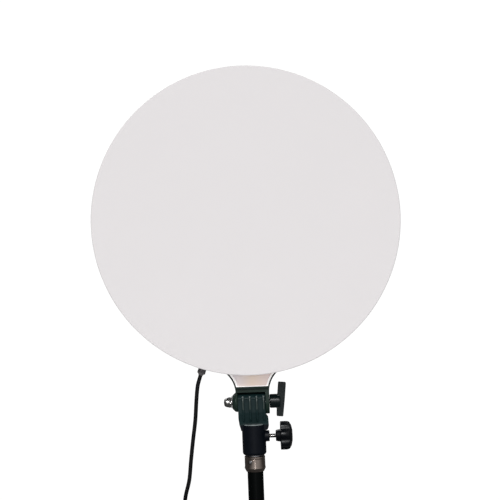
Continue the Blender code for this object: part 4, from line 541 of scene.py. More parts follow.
bolt_hole = [
    (0, barrel_length + 3), (WASHER_SEAT_RADIUS, barrel_length + 3),
    (WASHER_SEAT_RADIUS, right_seat), (BOLT_BORE, right_seat),
    (BOLT_BORE, WASHER_SEAT_DEPTH), (WASHER_SEAT_RADIUS, WASHER_SEAT_DEPTH),
    (WASHER_SEAT_RADIUS, -3), (0, -3),
]
cut(head, turned(bolt_hole, 40, 0), barrel_end, RIGHTWARD)
cut(head, rod(INSERT_BORE, 0, 17), (5, 0, LOCK_HEIGHT), RIGHTWARD)
moulded(head)
PLAIN, SOCKET, PAINTED_HIGHLIGHT, CREST = range(4)
for finish in (
    # painted shade: the socket's nylon is darker and bluer than the rest of the head
    surface("socket_shade_nylon", (0.0012, 0.0022, 0.0045), 0.4, 0.5, 0.03, drift=0.3, patch=9, gleam=0.12),
    # painted highlight: paler nylon along the step and on the tops of the ribs
    surface("painted_highlight_nylon", (0.13, 0.15, 0.15), 0.4, 0.3, 0.03, drift=0.35, patch=2, gleam=0.3),
    # painted highlight: lighter nylon on the rib crests
    surface("crest_highlight_nylon", (0.02, 0.03, 0.028), 0.36, 0.4, 0.03, drift=0.4, patch=3, gleam=0.25),
):
    head.data.materials.append(finish)


def head_finish(x, y, z):
    """The finish of the head's surface at a point: plain nylon, the socket's painted shade, or painted
    highlights at the step, the rib tops and the crests.
    """
    from_rib = abs((x - RIB_FIRST + RIB_PITCH / 2) % RIB_PITCH - RIB_PITCH / 2)
    if z < SOCKET_TOP - 0.9:
        return SOCKET
    if z < SOCKET_TOP + 0.2 and abs(y) > COLUMN_FOOT_DEPTH + 1.5:
        return PAINTED_HIGHLIGHT
    if abs(y) > COLUMN_DEPTH + 1 and z > TILT_HEIGHT - 8:
        return CREST
    if abs(y) > 8.5 and abs(z - TILT_HEIGHT - RIB_TOP) < 0.8 and from_rib < RIB_WIDTH / 2:
        return PAINTED_HIGHLIGHT
    return PLAIN


for face in head.data.polygons:
    face.material_index = head_finish(*(head.matrix_world @ face.center / MM))

# Inserts and friction washers
# Two machined brass bushes are pressed into the plastic, one for the lock screw and one in the
# tilt lever. A pressed-fibre washer in each end of the barrel gives the tilt its drag.
brass = surface("machined_brass", (0.6, 0.42, 0.17), 0.3, 0.2, 0.006, 1, 0.15, 3, (0.2, 0.2, 4))
fibre = surface("pressed_fibre", (0.24, 0.19, 0.14), 0.75, 0.6, 0.05, drift=0.3, patch=4)


def bush(start, end, outer, bore):
    """A plain bush with a countersunk mouth."""
    length = end - start
    mouth = shifted(bore, length, (0, -0.5), (0.5, 0))
    return turned([(outer - 0.3, length), (outer, length - 0.3), (outer, 0), (bore, 0), *mouth], 64, 0)


def finish_node(name, material):
    """Gives a CAD node that stays as it is its finish."""
    obj = frame["nodes"][name]
    obj.data.materials.clear()
    obj.data.materials.append(material)


insert_left, insert_right = span("lock_insert", "x")
lock_bush = bush(insert_left, insert_right, 4.3, 2.8)
insert_place = (insert_left, 0, LOCK_HEIGHT)
made_of("lock_bush", lock_bush, brass, "head", "brass", "lock_insert", insert_place, RIGHTWARD)
sleeve_left, sleeve_right = span("tilt_lever_insert", "x")
lever_bush = bush(sleeve_left, sleeve_right, 4.6, 3.3)
sleeve_place = (sleeve_right, 0, TILT_HEIGHT)
made_of("lever_bush", lever_bush, brass, "tilt_lever", "brass", "tilt_lever_insert", sleeve_place, LEFTWARD)
for side in ("left", "right"):
    finish_node(f"{side}_friction_washer", fibre)

# Lock screw and its knob
# A chrome-plated M5 stud screws through the socket's wall and clamps the spigot by its waist.
# The seven-lobed nylon knob is moulded round its outer end.
SCREW_RADIUS = 2.5
SCREW_PITCH = 0.8
THREAD_DEPTH = 0.4
KNOB_HUB = span("lock_knob", "x")[0] + 1
KNOB_RADIUS = 17.3
KNOB_LOBES = 7
KNOB_LOBE_DEPTH = 2.9
KNOB_BACK = 5.6
KNOB_END = 20.2
KNOB_EDGE = 1
KNOB_BORE_DEPTH = 9


def skinned(rings, sharp=60):
    """A closed skin over rings of points. A ring of one point is a tip."""
    shape = bmesh.new()
    rings = [[shape.verts.new([value * MM for value in point]) for point in ring] for ring in rings]
    for first, second in zip(rings, rings[1:]):
        sides = max(len(first), len(second))
        for index in range(sides):
            after = (index + 1) % sides
            corners = [first[index % len(first)], first[after % len(first)]]
            corners += [second[after % len(second)], second[index % len(second)]]
            shape.faces.new(list(dict.fromkeys(corners)))
    for ring in (rings[0], rings[-1]):
        if len(ring) > 1:
            shape.faces.new(ring)
    bmesh.ops.remove_doubles(shape, verts=shape.verts, dist=0.004 * MM)
    bmesh.ops.recalc_face_normals(shape, faces=shape.faces)
    return finished_mesh(shape, sharp)


def threaded(radius, length, pitch, depth, sides=40):
    """A threaded bar from z = 0 up, chamfered at both ends."""
    steps = round(length / (pitch / 8))
    rings = []
    for level in range(steps + 1):
        height = length * level / steps
        chamfer = radius - 0.7 * depth - 0.3 + min(height, length - height)
        ring = []
        for index in range(sides):
            angle = TURN * index / sides
            place = (height / pitch - index / sides) % 1
            reach = min(radius - depth * abs(2 * place - 1), chamfer)
            ring.append((reach * cos(angle), reach * sin(angle), height))
        rings.append(ring)
    return skinned(rings)


def fluted(line, limit, sides, soft):
    """A turned shape whose radius is held inside a limit that depends on angle and height."""
    rings = []
    for radius, height in line:
        ring = []
        for index in range(sides if radius else 1):
            angle = TURN * index / sides
            least = exp(-radius / soft) + exp(-limit(angle, height) / soft)
            reach = -soft * log(least) if radius else 0
            ring.append((reach * cos(angle), reach * sin(angle), height))
        rings.append(ring)
    return skinned(rings, 40)


def lobed(angle, height):
    """The knob's outline, drawn in a little at its back edge."""
    lobe = KNOB_RADIUS - KNOB_LOBE_DEPTH * (0.5 - 0.5 * cos(KNOB_LOBES * angle)) ** 1.6
    below = KNOB_EDGE - min(max(height - KNOB_BACK, 0), KNOB_EDGE)
    return lobe - KNOB_EDGE + sqrt(KNOB_EDGE**2 - below**2)


chrome = surface("chrome_plate", (0.66, 0.65, 0.64), 0.18, 0.3, 0.003, 1, 0.1, 4)
chrome_tree = chrome.node_tree
chrome_shader = chrome_tree.nodes["Principled BSDF"]
chrome_shader.inputs["Specular Tint"].default_value = (0.25, 0.25, 0.26, 1)
# Painted reflection: the chrome is darkened towards its outline, where it turns away from view, in place of a
# dark room mirrored there.
painted_dark_rim = add_node(chrome_tree, "Mix")
painted_dark_rim.data_type = "RGBA"
painted_dark_rim.inputs[7].default_value = (0.03, 0.03, 0.032, 1)
slant = add_node(chrome_tree, "LayerWeight", Blend=0.62)
chrome_paint = chrome_shader.inputs["Base Color"].links[0].from_node
link(
    chrome_tree,
    (slant, "Facing", painted_dark_rim, 0),
    (chrome_paint, 2, painted_dark_rim, 6),
    (painted_dark_rim, 2, chrome_shader, "Base Color"),
)
knob_nylon = surface("knob_nylon", (0.0015, 0.002, 0.003), 0.28, 0.4, 0.02, drift=0.2, patch=7, gleam=0.15)
stud_left, stud_right = span("lock_screw", "x")
lock_stud = threaded(SCREW_RADIUS, stud_right - stud_left, SCREW_PITCH, THREAD_DEPTH)
stud_place = (stud_left, 0, LOCK_HEIGHT)
made_of("lock_stud", lock_stud, chrome, "lock_screw", "chrome", "lock_screw", stud_place, RIGHTWARD)
bore = SCREW_RADIUS + GAP
knob_line = [
    (0, KNOB_BORE_DEPTH), (bore, KNOB_BORE_DEPTH),
    *rounded([(bore, 0), (6.4, 0), (6.9, 2), (7.6, KNOB_BACK), (17.1, KNOB_BACK)], 0.7, False, 4),
    *[(18, KNOB_BACK + KNOB_EDGE * (1 - cos(pi / 2 * step / 4))) for step in range(1, 5)],
    (18, KNOB_BACK + 5),
    *rounded([(18, 13.2), (16.2, 16.4), (12, 18.8), (6.5, 20), (0.5, KNOB_END)], 4, False, 5),
    (0, KNOB_END),
]
lock_grip = fluted(knob_line, lobed, 24 * KNOB_LOBES, 0.35)
knob_place = (KNOB_HUB, 0, LOCK_HEIGHT)
made_of("lock_grip", lock_grip, knob_nylon, "lock_knob", "knob_plastic", "lock_knob", knob_place, RIGHTWARD)

# Tilt bolt, cap nut and washer
# A plain steel bolt runs through fork and barrel. On the left it ends in a chrome-plated domed
# cap nut over a flat washer, which stays put while the lever is turned.
CAP_NUT_LEFT, CAP_NUT_RIGHT = span("tilt_cap_nut", "x")
CAP_NUT_FLAT = 5.9
CAP_NUT_REACH = CAP_NUT_RIGHT - CAP_NUT_LEFT
NUT_BASE = 3.2


def six_sided(angle, height):
    """The distance from the axis to the flats of the nut."""
    return CAP_NUT_FLAT / cos((angle + pi / 6) % (pi / 3) - pi / 6)


finish_node("tilt_bolt", bright_steel)
washer_left, washer_right = span("tilt_cap_washer", "x")
cap_washer = pipe(7, BOLT_BORE, 0, washer_right - washer_left, 64)
washer_place = (washer_right, 0, TILT_HEIGHT)
made_of("cap_washer", cap_washer, chrome, "panel", "chrome", "tilt_cap_washer", washer_place, LEFTWARD)
nut_line = [
    (0, 5.5), (BOLT_BORE, 5.5), (BOLT_BORE, 0), (5.7, 0), (6.7, 0.5), (6.7, NUT_BASE - 0.5), (6.1, NUT_BASE),
    *rounded([(5.6, NUT_BASE + 0.2), (5.6, 5.2), (4.2, 8), (0.3, CAP_NUT_REACH)], 3, False, 6),
    (0, CAP_NUT_REACH),
]
cap_nut = fluted(nut_line, six_sided, 96, 0.05)
nut_place = (CAP_NUT_RIGHT, 0, TILT_HEIGHT)
made_of("cap_nut", cap_nut, chrome, "panel", "chrome", "tilt_cap_nut", nut_place, LEFTWARD)

# Tilt lever
# A T-bar handle in a darker nylon than the head, moulded round a brass bush. Its longer arm
# points up and leans outwards a little, clear of the fork.
LEVER_START = span("tilt_lever", "x")[0]
LEVER_HUB_RADIUS = 8.3
LEVER_HUB_LENGTH = 10
BAR_WIDTH = 9.3
BAR_DEPTH = 10
BAR_LENGTH = 40.5
BAR_RISE = 2
BAR_LEAN = 6

lever_nylon = surface(
    "lever_nylon", (0.0025, 0.0055, 0.006), 0.26, 0.5, 0.015, drift=0.25, patch=9, gleam=0.23
)
hub_end = LEVER_HUB_LENGTH + 2
hub_section = [
    (0, hub_end), (LEVER_HUB_RADIUS, hub_end),
    *shifted(LEVER_HUB_RADIUS, 0, (0, 1), (-0.8, 0), (-LEVER_HUB_RADIUS, 0)),
]
hub = turned(hub_section, 56, 0)
lever_place = (LEVER_START, 0, TILT_HEIGHT)
lever = made_of(
    "lever_handle", hub, lever_nylon, "tilt_lever", "head_plastic", "tilt_lever", lever_place, RIGHTWARD
)
half_bar = BAR_LENGTH / 2
bar_outline = [
    *shifted(-BAR_WIDTH / 2, 0, (0, half_bar), (0, 0), (0.3, -9), (0.9, -half_bar)),
    *shifted(BAR_WIDTH / 2, 0, (-0.5, -half_bar), (-0.2, -8), (0, 0), (0, half_bar)),
]
bar_x = LEVER_START + LEVER_HUB_LENGTH - 1.2 + BAR_WIDTH / 2
bar_turn = rotation(BAR_LEAN, "Y") @ FORWARD
join(lever, plate(rounded(bar_outline, 1.1), BAR_DEPTH), (bar_x, 0, TILT_HEIGHT + BAR_RISE), bar_turn)
cut(lever, rod(4.9, 0, 13), (LEVER_START - 3, 0, TILT_HEIGHT), RIGHTWARD)
moulded(lever)

# Neck and rear housing
# One satin black moulding: a fork that holds the barrel, flaring out into a shallow box behind
# the panel. Four pillars inside it take the screws that hold it to the panel.
FORK_HALF_WIDTH = 20
FORK_INNER_LEFT = 17.9
FORK_INNER_RIGHT = 15.2
BRIDGE_BOTTOM = TILT_HEIGHT + 12.6
BRIDGE_TOP = BRIDGE_BOTTOM + 5.2
BRIDGE_HALF_DEPTH = 13
LEFT_EYE_RADIUS = 11.6
RIGHT_EYE_RADIUS = 14.8
LEFT_BOSS_END = 24.3
FLARE_RADIUS = 32
FLARE_ANGLE = radians(52)
HOUSING_HALF_WIDTH = span("neck_housing", "x")[1]
HOUSING_FRONT, HOUSING_BACK = span("neck_housing", "y")
HOUSING_TOP = span("neck_housing", "z")[1]
HOUSING_CORNER = 18
HOUSING_WALL = 1.5
HOUSING_BACK_WALL = 2.4
HOUSING_EDGE = 1
CAVITY_BOTTOM = BRIDGE_TOP + 1.7
PILLAR_PLACES = [(x, TILT_HEIGHT + rise) for rise in (96.5, 160.5) for x in (-46, 46)]
PILLAR_RADIUS = 4
DIAL_PLACES = [("brightness", -27), ("colour", 27)]
DIAL_HEIGHT = TILT_HEIGHT + 136.5
SWITCH_HEIGHT = TILT_HEIGHT + 98.5
SWITCH_WIDTH = 18.6
SWITCH_TALL = 12.6
HEAD_RADIUS = 2.9
HEAD_HEIGHT = 1.6
SHANK_RADIUS = 1.5


def housing_side(inset, bottom):
    """The right half of the housing's front view: hollow flare, round shoulder, side and corner."""
    hollow = FLARE_RADIUS + inset
    flare_x = FORK_HALF_WIDTH + FLARE_RADIUS
    start = asin((bottom - BRIDGE_BOTTOM) / hollow)
    flare = arc(flare_x, BRIDGE_BOTTOM, hollow, pi - start, pi - FLARE_ANGLE, 14)
    hip = flare_x - FLARE_RADIUS * cos(FLARE_ANGLE)
    swell = (HOUSING_HALF_WIDTH - hip) / (1 - cos(FLARE_ANGLE))
    swell_z = BRIDGE_BOTTOM + (FLARE_RADIUS + swell) * sin(FLARE_ANGLE)
    shoulder = arc(HOUSING_HALF_WIDTH - swell, swell_z, swell - inset, -FLARE_ANGLE, 0, 14)
    centre = HOUSING_HALF_WIDTH - HOUSING_CORNER, HOUSING_TOP - HOUSING_CORNER
    return [*flare, *shoulder[1:], *arc(*centre, HOUSING_CORNER - inset, 0, pi / 2, 9)]


def mirrored(half):
    return half + [(-x, z) for x, z in reversed(half)]


def block(low, high, edge=0):
    """A rectangular cutter or part, between two corners."""
    low, high = Vector(low), Vector(high)
    x, y, z = (high - low) / 2
    mesh = plate([(-x, -y), (x, -y), (x, y), (-x, y)], 2 * z, edge)
    mesh.transform(Matrix.Translation((low + high) / 2 * MM))
    return mesh


housing_black = surface(
    "housing_black", (0.006, 0.015, 0.0112), 0.42, 0.45, 0.03, drift=0.25, patch=14, gleam=0.2
)
housing_depth = HOUSING_BACK - HOUSING_FRONT
housing_middle = (HOUSING_BACK + HOUSING_FRONT) / 2
housing_mesh = plate(mirrored(housing_side(0, BRIDGE_BOTTOM)), housing_depth, HOUSING_EDGE)
housing_place = ((0, housing_middle, 0), FORWARD)
housing = made_of(
    "housing_moulding", housing_mesh, housing_black, "panel", "shell_plastic", "neck_housing", *housing_place
)
cavity = plate(mirrored(housing_side(HOUSING_WALL, CAVITY_BOTTOM)), housing_depth)
cut(housing, cavity, (0, housing_middle - HOUSING_BACK_WALL, 0), FORWARD)
wide = 3 * FORK_HALF_WIDTH
for front, back in ((HOUSING_FRONT - 1, -BRIDGE_HALF_DEPTH), (BRIDGE_HALF_DEPTH, HOUSING_BACK + 1)):
    cut(housing, block((-wide, front, BRIDGE_BOTTOM - 2), (wide, back, BRIDGE_TOP)))
for side, inner, eye in ((-1, FORK_INNER_LEFT, LEFT_EYE_RADIUS), (1, FORK_INNER_RIGHT, RIGHT_EYE_RADIUS)):
    top = BRIDGE_BOTTOM + 2 - TILT_HEIGHT
    reach = min(BRIDGE_HALF_DEPTH, eye)
    thick = FORK_HALF_WIDTH - inner
    cheek = plate([(-reach, top), *arc(0, 0, eye, pi, TURN, 33), (reach, top)], thick, 0.6)
    join(housing, cheek, (side * (FORK_HALF_WIDTH - thick / 2), 0, TILT_HEIGHT), SIDEWAYS)
left_boss = [
    (0, LEFT_BOSS_END), (7.6, LEFT_BOSS_END), (8.5, LEFT_BOSS_END - 0.6),
    *shifted(LEFT_EYE_RADIUS - 0.2, FORK_HALF_WIDTH, (0, 0.6), (0, -0.5)),
    (0, FORK_HALF_WIDTH - 0.5),
]
join(housing, turned(left_boss, 64, 0.5), tilt_axis, LEFTWARD)
cut(housing, rod(BOLT_BORE, -40, 40), tilt_axis, RIGHTWARD)
for x, z in PILLAR_PLACES:
    join(housing, rod(PILLAR_RADIUS, HOUSING_FRONT, HOUSING_BACK - 1), (x, 0, z), BACKWARD)
    cut(housing, rod(SHANK_RADIUS + GAP, -40, 40, 20), (x, 0, z), BACKWARD)
    head_seat = rod(HEAD_RADIUS + GAP, HOUSING_BACK - HEAD_HEIGHT - 2 * GAP, HOUSING_BACK + 2)
    cut(housing, head_seat, (x, 0, z), BACKWARD)
for name, x in DIAL_PLACES:
    cut(housing, rod(3.8, HOUSING_BACK - 6, 40), (x, 0, DIAL_HEIGHT), BACKWARD)
opening = Vector((SWITCH_WIDTH / 2 + GAP, 6, SWITCH_TALL / 2 + GAP))
switch_place = Vector((0, HOUSING_BACK, SWITCH_HEIGHT))
cut(housing, block(switch_place - opening, switch_place + opening))
settle(housing)

# Neck cover
# A pale painted plate lies in the flare's front, inside a thin white moulded border that is
# seen at its sides and its lower edge. The border has a faint painted glow that lifts it out of the shade.
COVER_TOP = span("neck_cover", "z")[1]
COVER_BOTTOM = CAVITY_BOTTOM + GAP
COVER_FRONT = span("neck_cover", "y")[0]
COVER_THICKNESS = 2
COVER_INSET = HOUSING_WALL + GAP
BORDER_WIDTH = 0.9
SIDE_BORDER_WIDTH = 2.2


def cover_outline(inset, bottom):
    """The neck's outline, cut straight at the cover's top edge."""
    side = [Vector(point) for point in housing_side(inset, bottom)]
    below = sum(point.y < COVER_TOP for point in side)
    share = (COVER_TOP - side[below - 1].y) / (side[below].y - side[below - 1].y)
    half = [*side[:below], side[below - 1].lerp(side[below], share)]
    return mirrored([tuple(point) for point in half])


cover_paint = surface("cover_paint", (0.6, 0.53, 0.5), 0.55, 0.5, 0.02, drift=0.04)
cover_tree = cover_paint.node_tree
cover_place = add_node(cover_tree, "TexCoord")
cover_axes = add_node(cover_tree, "SeparateXYZ")
across_neck = add_node(cover_tree, "MapRange", From_Min=-26 * MM, From_Max=26 * MM)
blush = add_node(cover_tree, "ValToRGB")
blush.color_ramp.elements[0].color = (0.86, 0.8, 0.85, 1)
blush.color_ramp.elements[1].color = (0.87, 0.72, 0.71, 1)
blush.color_ramp.elements.new(0.5).color = (0.93, 0.76, 0.65, 1)
link(
    cover_tree,
    (cover_place, "Object", cover_axes, 0),
    (cover_axes, "X", across_neck, "Value"),
    (across_neck, "Result", blush, "Fac"),
    (blush, "Color", cover_tree.nodes["Principled BSDF"], "Base Color"),
)
outline = cover_outline(COVER_INSET, COVER_BOTTOM)
cover = plate(outline, COVER_THICKNESS, 0.3)
cover_middle = (0, COVER_FRONT + COVER_THICKNESS / 2, 0)
made_of("cover_plate", cover, cover_paint, "panel", "pale_plate", "neck_cover", cover_middle, FORWARD)
white_border_glow = surface("white_border_glow", (0.96, 0.94, 0.93), 0.45, 0.4, 0.02, drift=0.03)
white_shader = white_border_glow.node_tree.nodes["Principled BSDF"]
# Painted glow: a weak emission makes the border brighter than the light reaching it in the panel's shade.
white_shader.inputs["Emission Color"].default_value = (1, 0.93, 0.92, 1)
white_shader.inputs["Emission Strength"].default_value = 0.16
border_place = (0, COVER_FRONT, 0)
border = made_of(
    "cover_border", plate(outline, 1, 0.2), white_border_glow, "panel", "pale_plate", None, border_place, FORWARD
)
window = plate(cover_outline(COVER_INSET + SIDE_BORDER_WIDTH, COVER_BOTTOM + BORDER_WIDTH), 8)
cut(border, window, (0, COVER_FRONT, 0.02), FORWARD)
settle(border)

# Rear shell and screws
# The panel's back is a shallow black moulding with a rounded rim, three moulded grooves, and
# bosses inside. Cross-head screws join it to the ring inside the panel and to the housing.
PANEL_RADIUS = span("front_diffuser", "x")[1]
PANEL_HEIGHT = sum(span("front_diffuser", "z")) / 2
PANEL_FRONT = -span("front_diffuser", "y")[0]
PANEL_BACK = -span("rear_shell", "y")[1]
SHELL_TOP = PANEL_FRONT - 15 - GAP
SHELL_FLOOR = PANEL_BACK + 2.4
LIP_OUTER = PANEL_RADIUS - 2 - GAP
LIP_INNER = LIP_OUTER - 1.8
GROOVE_RADII = (156, 122, 88)
RIM_SCREW_RADIUS = 170.6
RIM_SCREWS = 6
FLANGE_FRONT = 36.8
JACK_ANGLE = radians(18.5)
JACK_DEPTH = 28.4

shell_black = surface(
    "shell_black", (0.02, 0.021, 0.022), 0.5, 0.7, 0.06, drift=0.15, patch=30, gleam=0.35
)
grooves = []
for radius in GROOVE_RADII:
    grooves += shifted(radius, PANEL_BACK, (1.8, 0), (1, 0.9), (-1, 0.9), (-1.8, 0))
shell_section = [
    (0, SHELL_FLOOR), *shifted(PANEL_RADIUS, SHELL_FLOOR, (-5.4, 0), (-2.4, 3)),
    (PANEL_RADIUS - 2.4, SHELL_TOP - 5.2), *shifted(LIP_INNER, SHELL_TOP, (0, -3.5), (0, 4.3)),
    *shifted(LIP_OUTER, SHELL_TOP, (0, 4.3), (0, 0)), (PANEL_RADIUS, SHELL_TOP),
    (PANEL_RADIUS, PANEL_BACK + 8),
    *arc(PANEL_RADIUS - 6, PANEL_BACK + 6, 6, 0, -pi / 2, 9),
    *grooves,
    (0, PANEL_BACK),
]
panel_centre = (0, 0, PANEL_HEIGHT)
shell_mesh = turned(shell_section, 240)
shell = made_of(
    "shell_moulding", shell_mesh, shell_black, "panel", "shell_plastic", "rear_shell", panel_centre, FORWARD
)
rim_places = []
for index in range(RIM_SCREWS):
    angle = TURN * (index + 0.5) / RIM_SCREWS
    rim_places.append((RIM_SCREW_RADIUS * sin(angle), PANEL_HEIGHT + RIM_SCREW_RADIUS * cos(angle)))
rim_bosses = (rim_places, 4.5, FLANGE_FRONT - 1.8)
pillar_bosses = (PILLAR_PLACES, PILLAR_RADIUS, SHELL_FLOOR + 8)
for places, radius, end in (rim_bosses, pillar_bosses):
    for x, z in places:
        join(shell, rod(radius, SHELL_FLOOR - 0.5, end, 24), (x, 0, z), FORWARD)
for x, z in rim_places:
    cut(shell, rod(HEAD_RADIUS + GAP, PANEL_BACK - 2, PANEL_BACK + HEAD_HEIGHT + 2 * GAP), (x, 0, z), FORWARD)
    cut(shell, rod(SHANK_RADIUS + GAP, PANEL_BACK, FLANGE_FRONT + 2, 20), (x, 0, z), FORWARD)
for x, z in PILLAR_PLACES:
    cut(shell, rod(SHANK_RADIUS + GAP, PANEL_BACK - 2, SHELL_FLOOR + 6.6, 20), (x, 0, z), FORWARD)
rimward = Vector((-sin(JACK_ANGLE), 0, -cos(JACK_ANGLE)))
rim_centre = Vector((0, -JACK_DEPTH, PANEL_HEIGHT))
rim_turn = rimward.to_track_quat("Z", "Y")
cut(shell, rod(4.3, PANEL_RADIUS - 9, PANEL_RADIUS + 3), rim_centre, rim_turn)
settle(shell)


def cross_screw(length):
    """A pan-head screw, point down from its head's top face at z = 0, with a cross recess."""
    profile = [
        (0, 0),
        *shifted(HEAD_RADIUS, 0, (-1.3, 0), (-0.3, -0.4), (0, -HEAD_HEIGHT + 0.3), (0, -HEAD_HEIGHT)),
        (SHANK_RADIUS, -HEAD_HEIGHT), (SHANK_RADIUS, -length + 2), (0.4, -length), (0, -length),
    ]
    screw = new_object("screw", turned(profile[::-1], 32, 0.25))
    for x, y in ((1.5, 0.32), (0.32, 1.5)):
        cut(screw, block((-x, -y, -1.1), (x, y, 1)))
    settle(screw)
    mesh = screw.data
    bpy.data.objects.remove(screw)
    return mesh


black_zinc = surface("black_zinc", (0.13, 0.13, 0.135), 0.35, 0.3, 0.006, 1, 0.2, 2)
housing_screws = ("housing_screw", PILLAR_PLACES, HOUSING_BACK)
rim_screws = ("rim_screw", rim_places, -PANEL_BACK)
for kind, places, head_y in (housing_screws, rim_screws):
    front, back = span(f"{kind}_1", "y")
    screw_mesh = cross_screw(back - front)
    for index, (x, z) in enumerate(places, 1):
        node = f"{kind}_{index}"
        turn = BACKWARD @ rotation(17 + 31 * index, "Z")
        place = (x, head_y - GAP, z)
        made_of(f"{node}_visible", screw_mesh.copy(), black_zinc, "panel", "steel", node, place, turn)

# Light stack
# Inside the panel, from the front: a clear acrylic light guide, a white reflector sheet, a
# support plate and an aluminium ring whose flange carries the LED strip round the guide's edge.
acrylic = surface("clear_acrylic", (0.9, 0.93, 0.92), 0.12, 2, 0.005, drift=0.03)
acrylic.node_tree.nodes["Principled BSDF"].inputs["Transmission Weight"].default_value = 0.9
finish_node("light_guide", acrylic)
finish_node("reflector_sheet", surface("reflector_white", (0.85, 0.86, 0.86), 0.6, 0.5, 0.01, drift=0.03))
aluminium = surface("rolled_aluminium", (0.62, 0.63, 0.64), 0.4, 0.3, 0.006, 1, stretch=(1, 1, 0.05))
finish_node("support_plate", aluminium)
finish_node("led_ring_frame", aluminium)
finish_node("led_strip", surface("led_strip", (0.7, 0.62, 0.32), 0.5, 1, 0.02, drift=0.3, patch=3))

# Front diffuser
# A shallow opal acrylic cap covers the panel's whole front and its skirt grips the rear shell.
# Its face is matt and even, and its rim is softly rounded.
EDGE = 1.5
opal = surface("opal_acrylic", (0.53, 0.512, 0.517), 0.62, 0.35, 0.008, drift=0.012, patch=60, gleam=0.25)
diffuser_section = [
    (0, PANEL_FRONT),
    *arc(PANEL_RADIUS - EDGE, PANEL_FRONT - EDGE, EDGE, pi / 2, 0, 12),
    *shifted(PANEL_RADIUS, PANEL_FRONT, (0, -14.6), (-0.4, -15), (-2, -15), (-2, -3.4), (-3.4, -2)),
    (0, PANEL_FRONT - 2),
]
cap = turned(diffuser_section, 240, 0)
made_of("diffuser_cap", cap, opal, "panel", "opal", "front_diffuser", panel_centre, FORWARD)

# Dials
# On the housing's back are two knurled nylon knobs on steel shafts, for brightness and colour.
# Each has a white pointer line, and a scale of short ticks is printed round it.
DIAL_FRONT, DIAL_BACK = span("brightness_dial", "y")
DIAL_RADIUS = 11
DIAL_TALL = DIAL_BACK - DIAL_FRONT
DIAL_TEETH = 32
DIAL_TOOTH_DEPTH = 0.45
TICK_COUNT = 11
TICK_SWEEP = 270


def knurled(angle, height):
    """The dial's grip: rounded teeth that run out below its smooth top edge."""
    wave = 0.5 - 0.5 * cos(DIAL_TEETH * angle)
    fade = min(max((DIAL_TALL - 1.6 - height) / 1.2, 0), 1)
    return DIAL_RADIUS - 0.1 - DIAL_TOOTH_DEPTH * wave * fade


def printed_scale(inner, outer):
    """Eleven ticks round a dial, the first, middle and last ones longer."""
    shape = bmesh.new()
    for index in range(TICK_COUNT):
        turn = TICK_SWEEP * (index / (TICK_COUNT - 1) - 0.5)
        end = outer + (0.9 if index in (0, TICK_COUNT // 2, TICK_COUNT - 1) else 0)
        size = Matrix.Diagonal((0.5 * MM, (end - inner) * MM, 0.12 * MM, 1))
        middle = Matrix.Translation((0, (inner + end) / 2 * MM, 0))
        bmesh.ops.create_cube(shape, size=1, matrix=rotation(turn, "Z") @ middle @ size)
    return finished_mesh(shape)


print_white = surface("printed_white", (0.75, 0.75, 0.73), 0.5, 0.3, 0.01, drift=0.05)
dial_line = [
    (0, 0.2), (2.7, 0.2), (2.7, 3), (8, 3), (8, 0),
    *[(DIAL_RADIUS + 1, DIAL_TALL * step / 8) for step in range(7)],
    *shifted(DIAL_RADIUS, DIAL_TALL, (-0.4, -0.9), (-1.2, -0.2), (-2.2, 0), (-3.4, -0.4)),
    (0, DIAL_TALL - 0.4),
]
for name, x in DIAL_PLACES:
    knob = fluted(dial_line, knurled, 8 * DIAL_TEETH, 0.12)
    body = f"{name}_dial"
    place = (x, DIAL_FRONT, DIAL_HEIGHT)
    dial = made_of(f"{name}_knob", knob, knob_nylon, body, "knob_plastic", body, place, BACKWARD)
    low, high = DIAL_HEIGHT + 3.6, DIAL_HEIGHT + 9.2
    cut(dial, block((x - 0.5, DIAL_BACK - 0.9, low), (x + 0.5, DIAL_BACK + 1, high)))
    settle(dial)
    line = block((x - 0.45, DIAL_BACK - 1, low + 0.05), (x + 0.45, DIAL_BACK - 0.6, high - 0.05), 0.08)
    made_of(f"{name}_pointer", line, print_white, body, "knob_plastic")
    scale = printed_scale(DIAL_RADIUS + 1.6, DIAL_RADIUS + 3.2)
    place = (x, HOUSING_BACK + 0.05, DIAL_HEIGHT)
    made_of(f"{name}_scale", scale, print_white, "panel", "shell_plastic", None, place, FORWARD)
    finish_node(f"{name}_shaft", bright_steel)
    finish_node(f"{name}_pot", bright_steel)

# Driver board
# A green glass-fibre board behind the dials carries the LED driver and the two potentiometers.
# It is coated with a glossy solder resist.
fibreglass = surface("fibreglass_board", (0.02, 0.16, 0.06), 0.35, 0.6, 0.02, drift=0.35, patch=2)
finish_node("driver_board", fibreglass)

# Power switch
# A black rocker switch snaps into the housing's back below the dials. Its rocker carries the
# usual line and ring in white.
BEZEL_BACK = HOUSING_BACK + GAP
ROCKER_ANGLE = 8
ROCKER_WIDTH = 13
ROCKER_HALF = 4.3
(left, right), (front, back), (low, high) = [span("power_switch", axis) for axis in "xyz"]
bezel = block((left, BEZEL_BACK, low), (right, back, high), 0.5)
switch = made_of("switch_bezel", bezel, soft_black, "panel", "knob_plastic", "power_switch")
body_low = (-SWITCH_WIDTH / 2, front, SWITCH_HEIGHT - SWITCH_TALL / 2)
body_high = (SWITCH_WIDTH / 2, BEZEL_BACK + 0.7, SWITCH_HEIGHT + SWITCH_TALL / 2)
join(switch, block(body_low, body_high))
well = Vector((ROCKER_WIDTH / 2 + 0.5, 0, ROCKER_HALF + 0.8))
cut(switch, block(switch_place - well - Vector((0, 3.4, 0)), switch_place + well + Vector((0, 6, 0))))
settle(switch)
rocker_side = [
    *shifted(0, -ROCKER_HALF, (-0.6, 0.6), (1.9, 0), (2.2, 0.4)), (1.95, -2), (1.7, 0), (1.95, 2),
    *shifted(0, ROCKER_HALF, (2.2, -0.4), (1.9, 0), (-0.6, -0.6)), (-1.6, 0),
]
rocker_turn = rotation(ROCKER_ANGLE, "X")
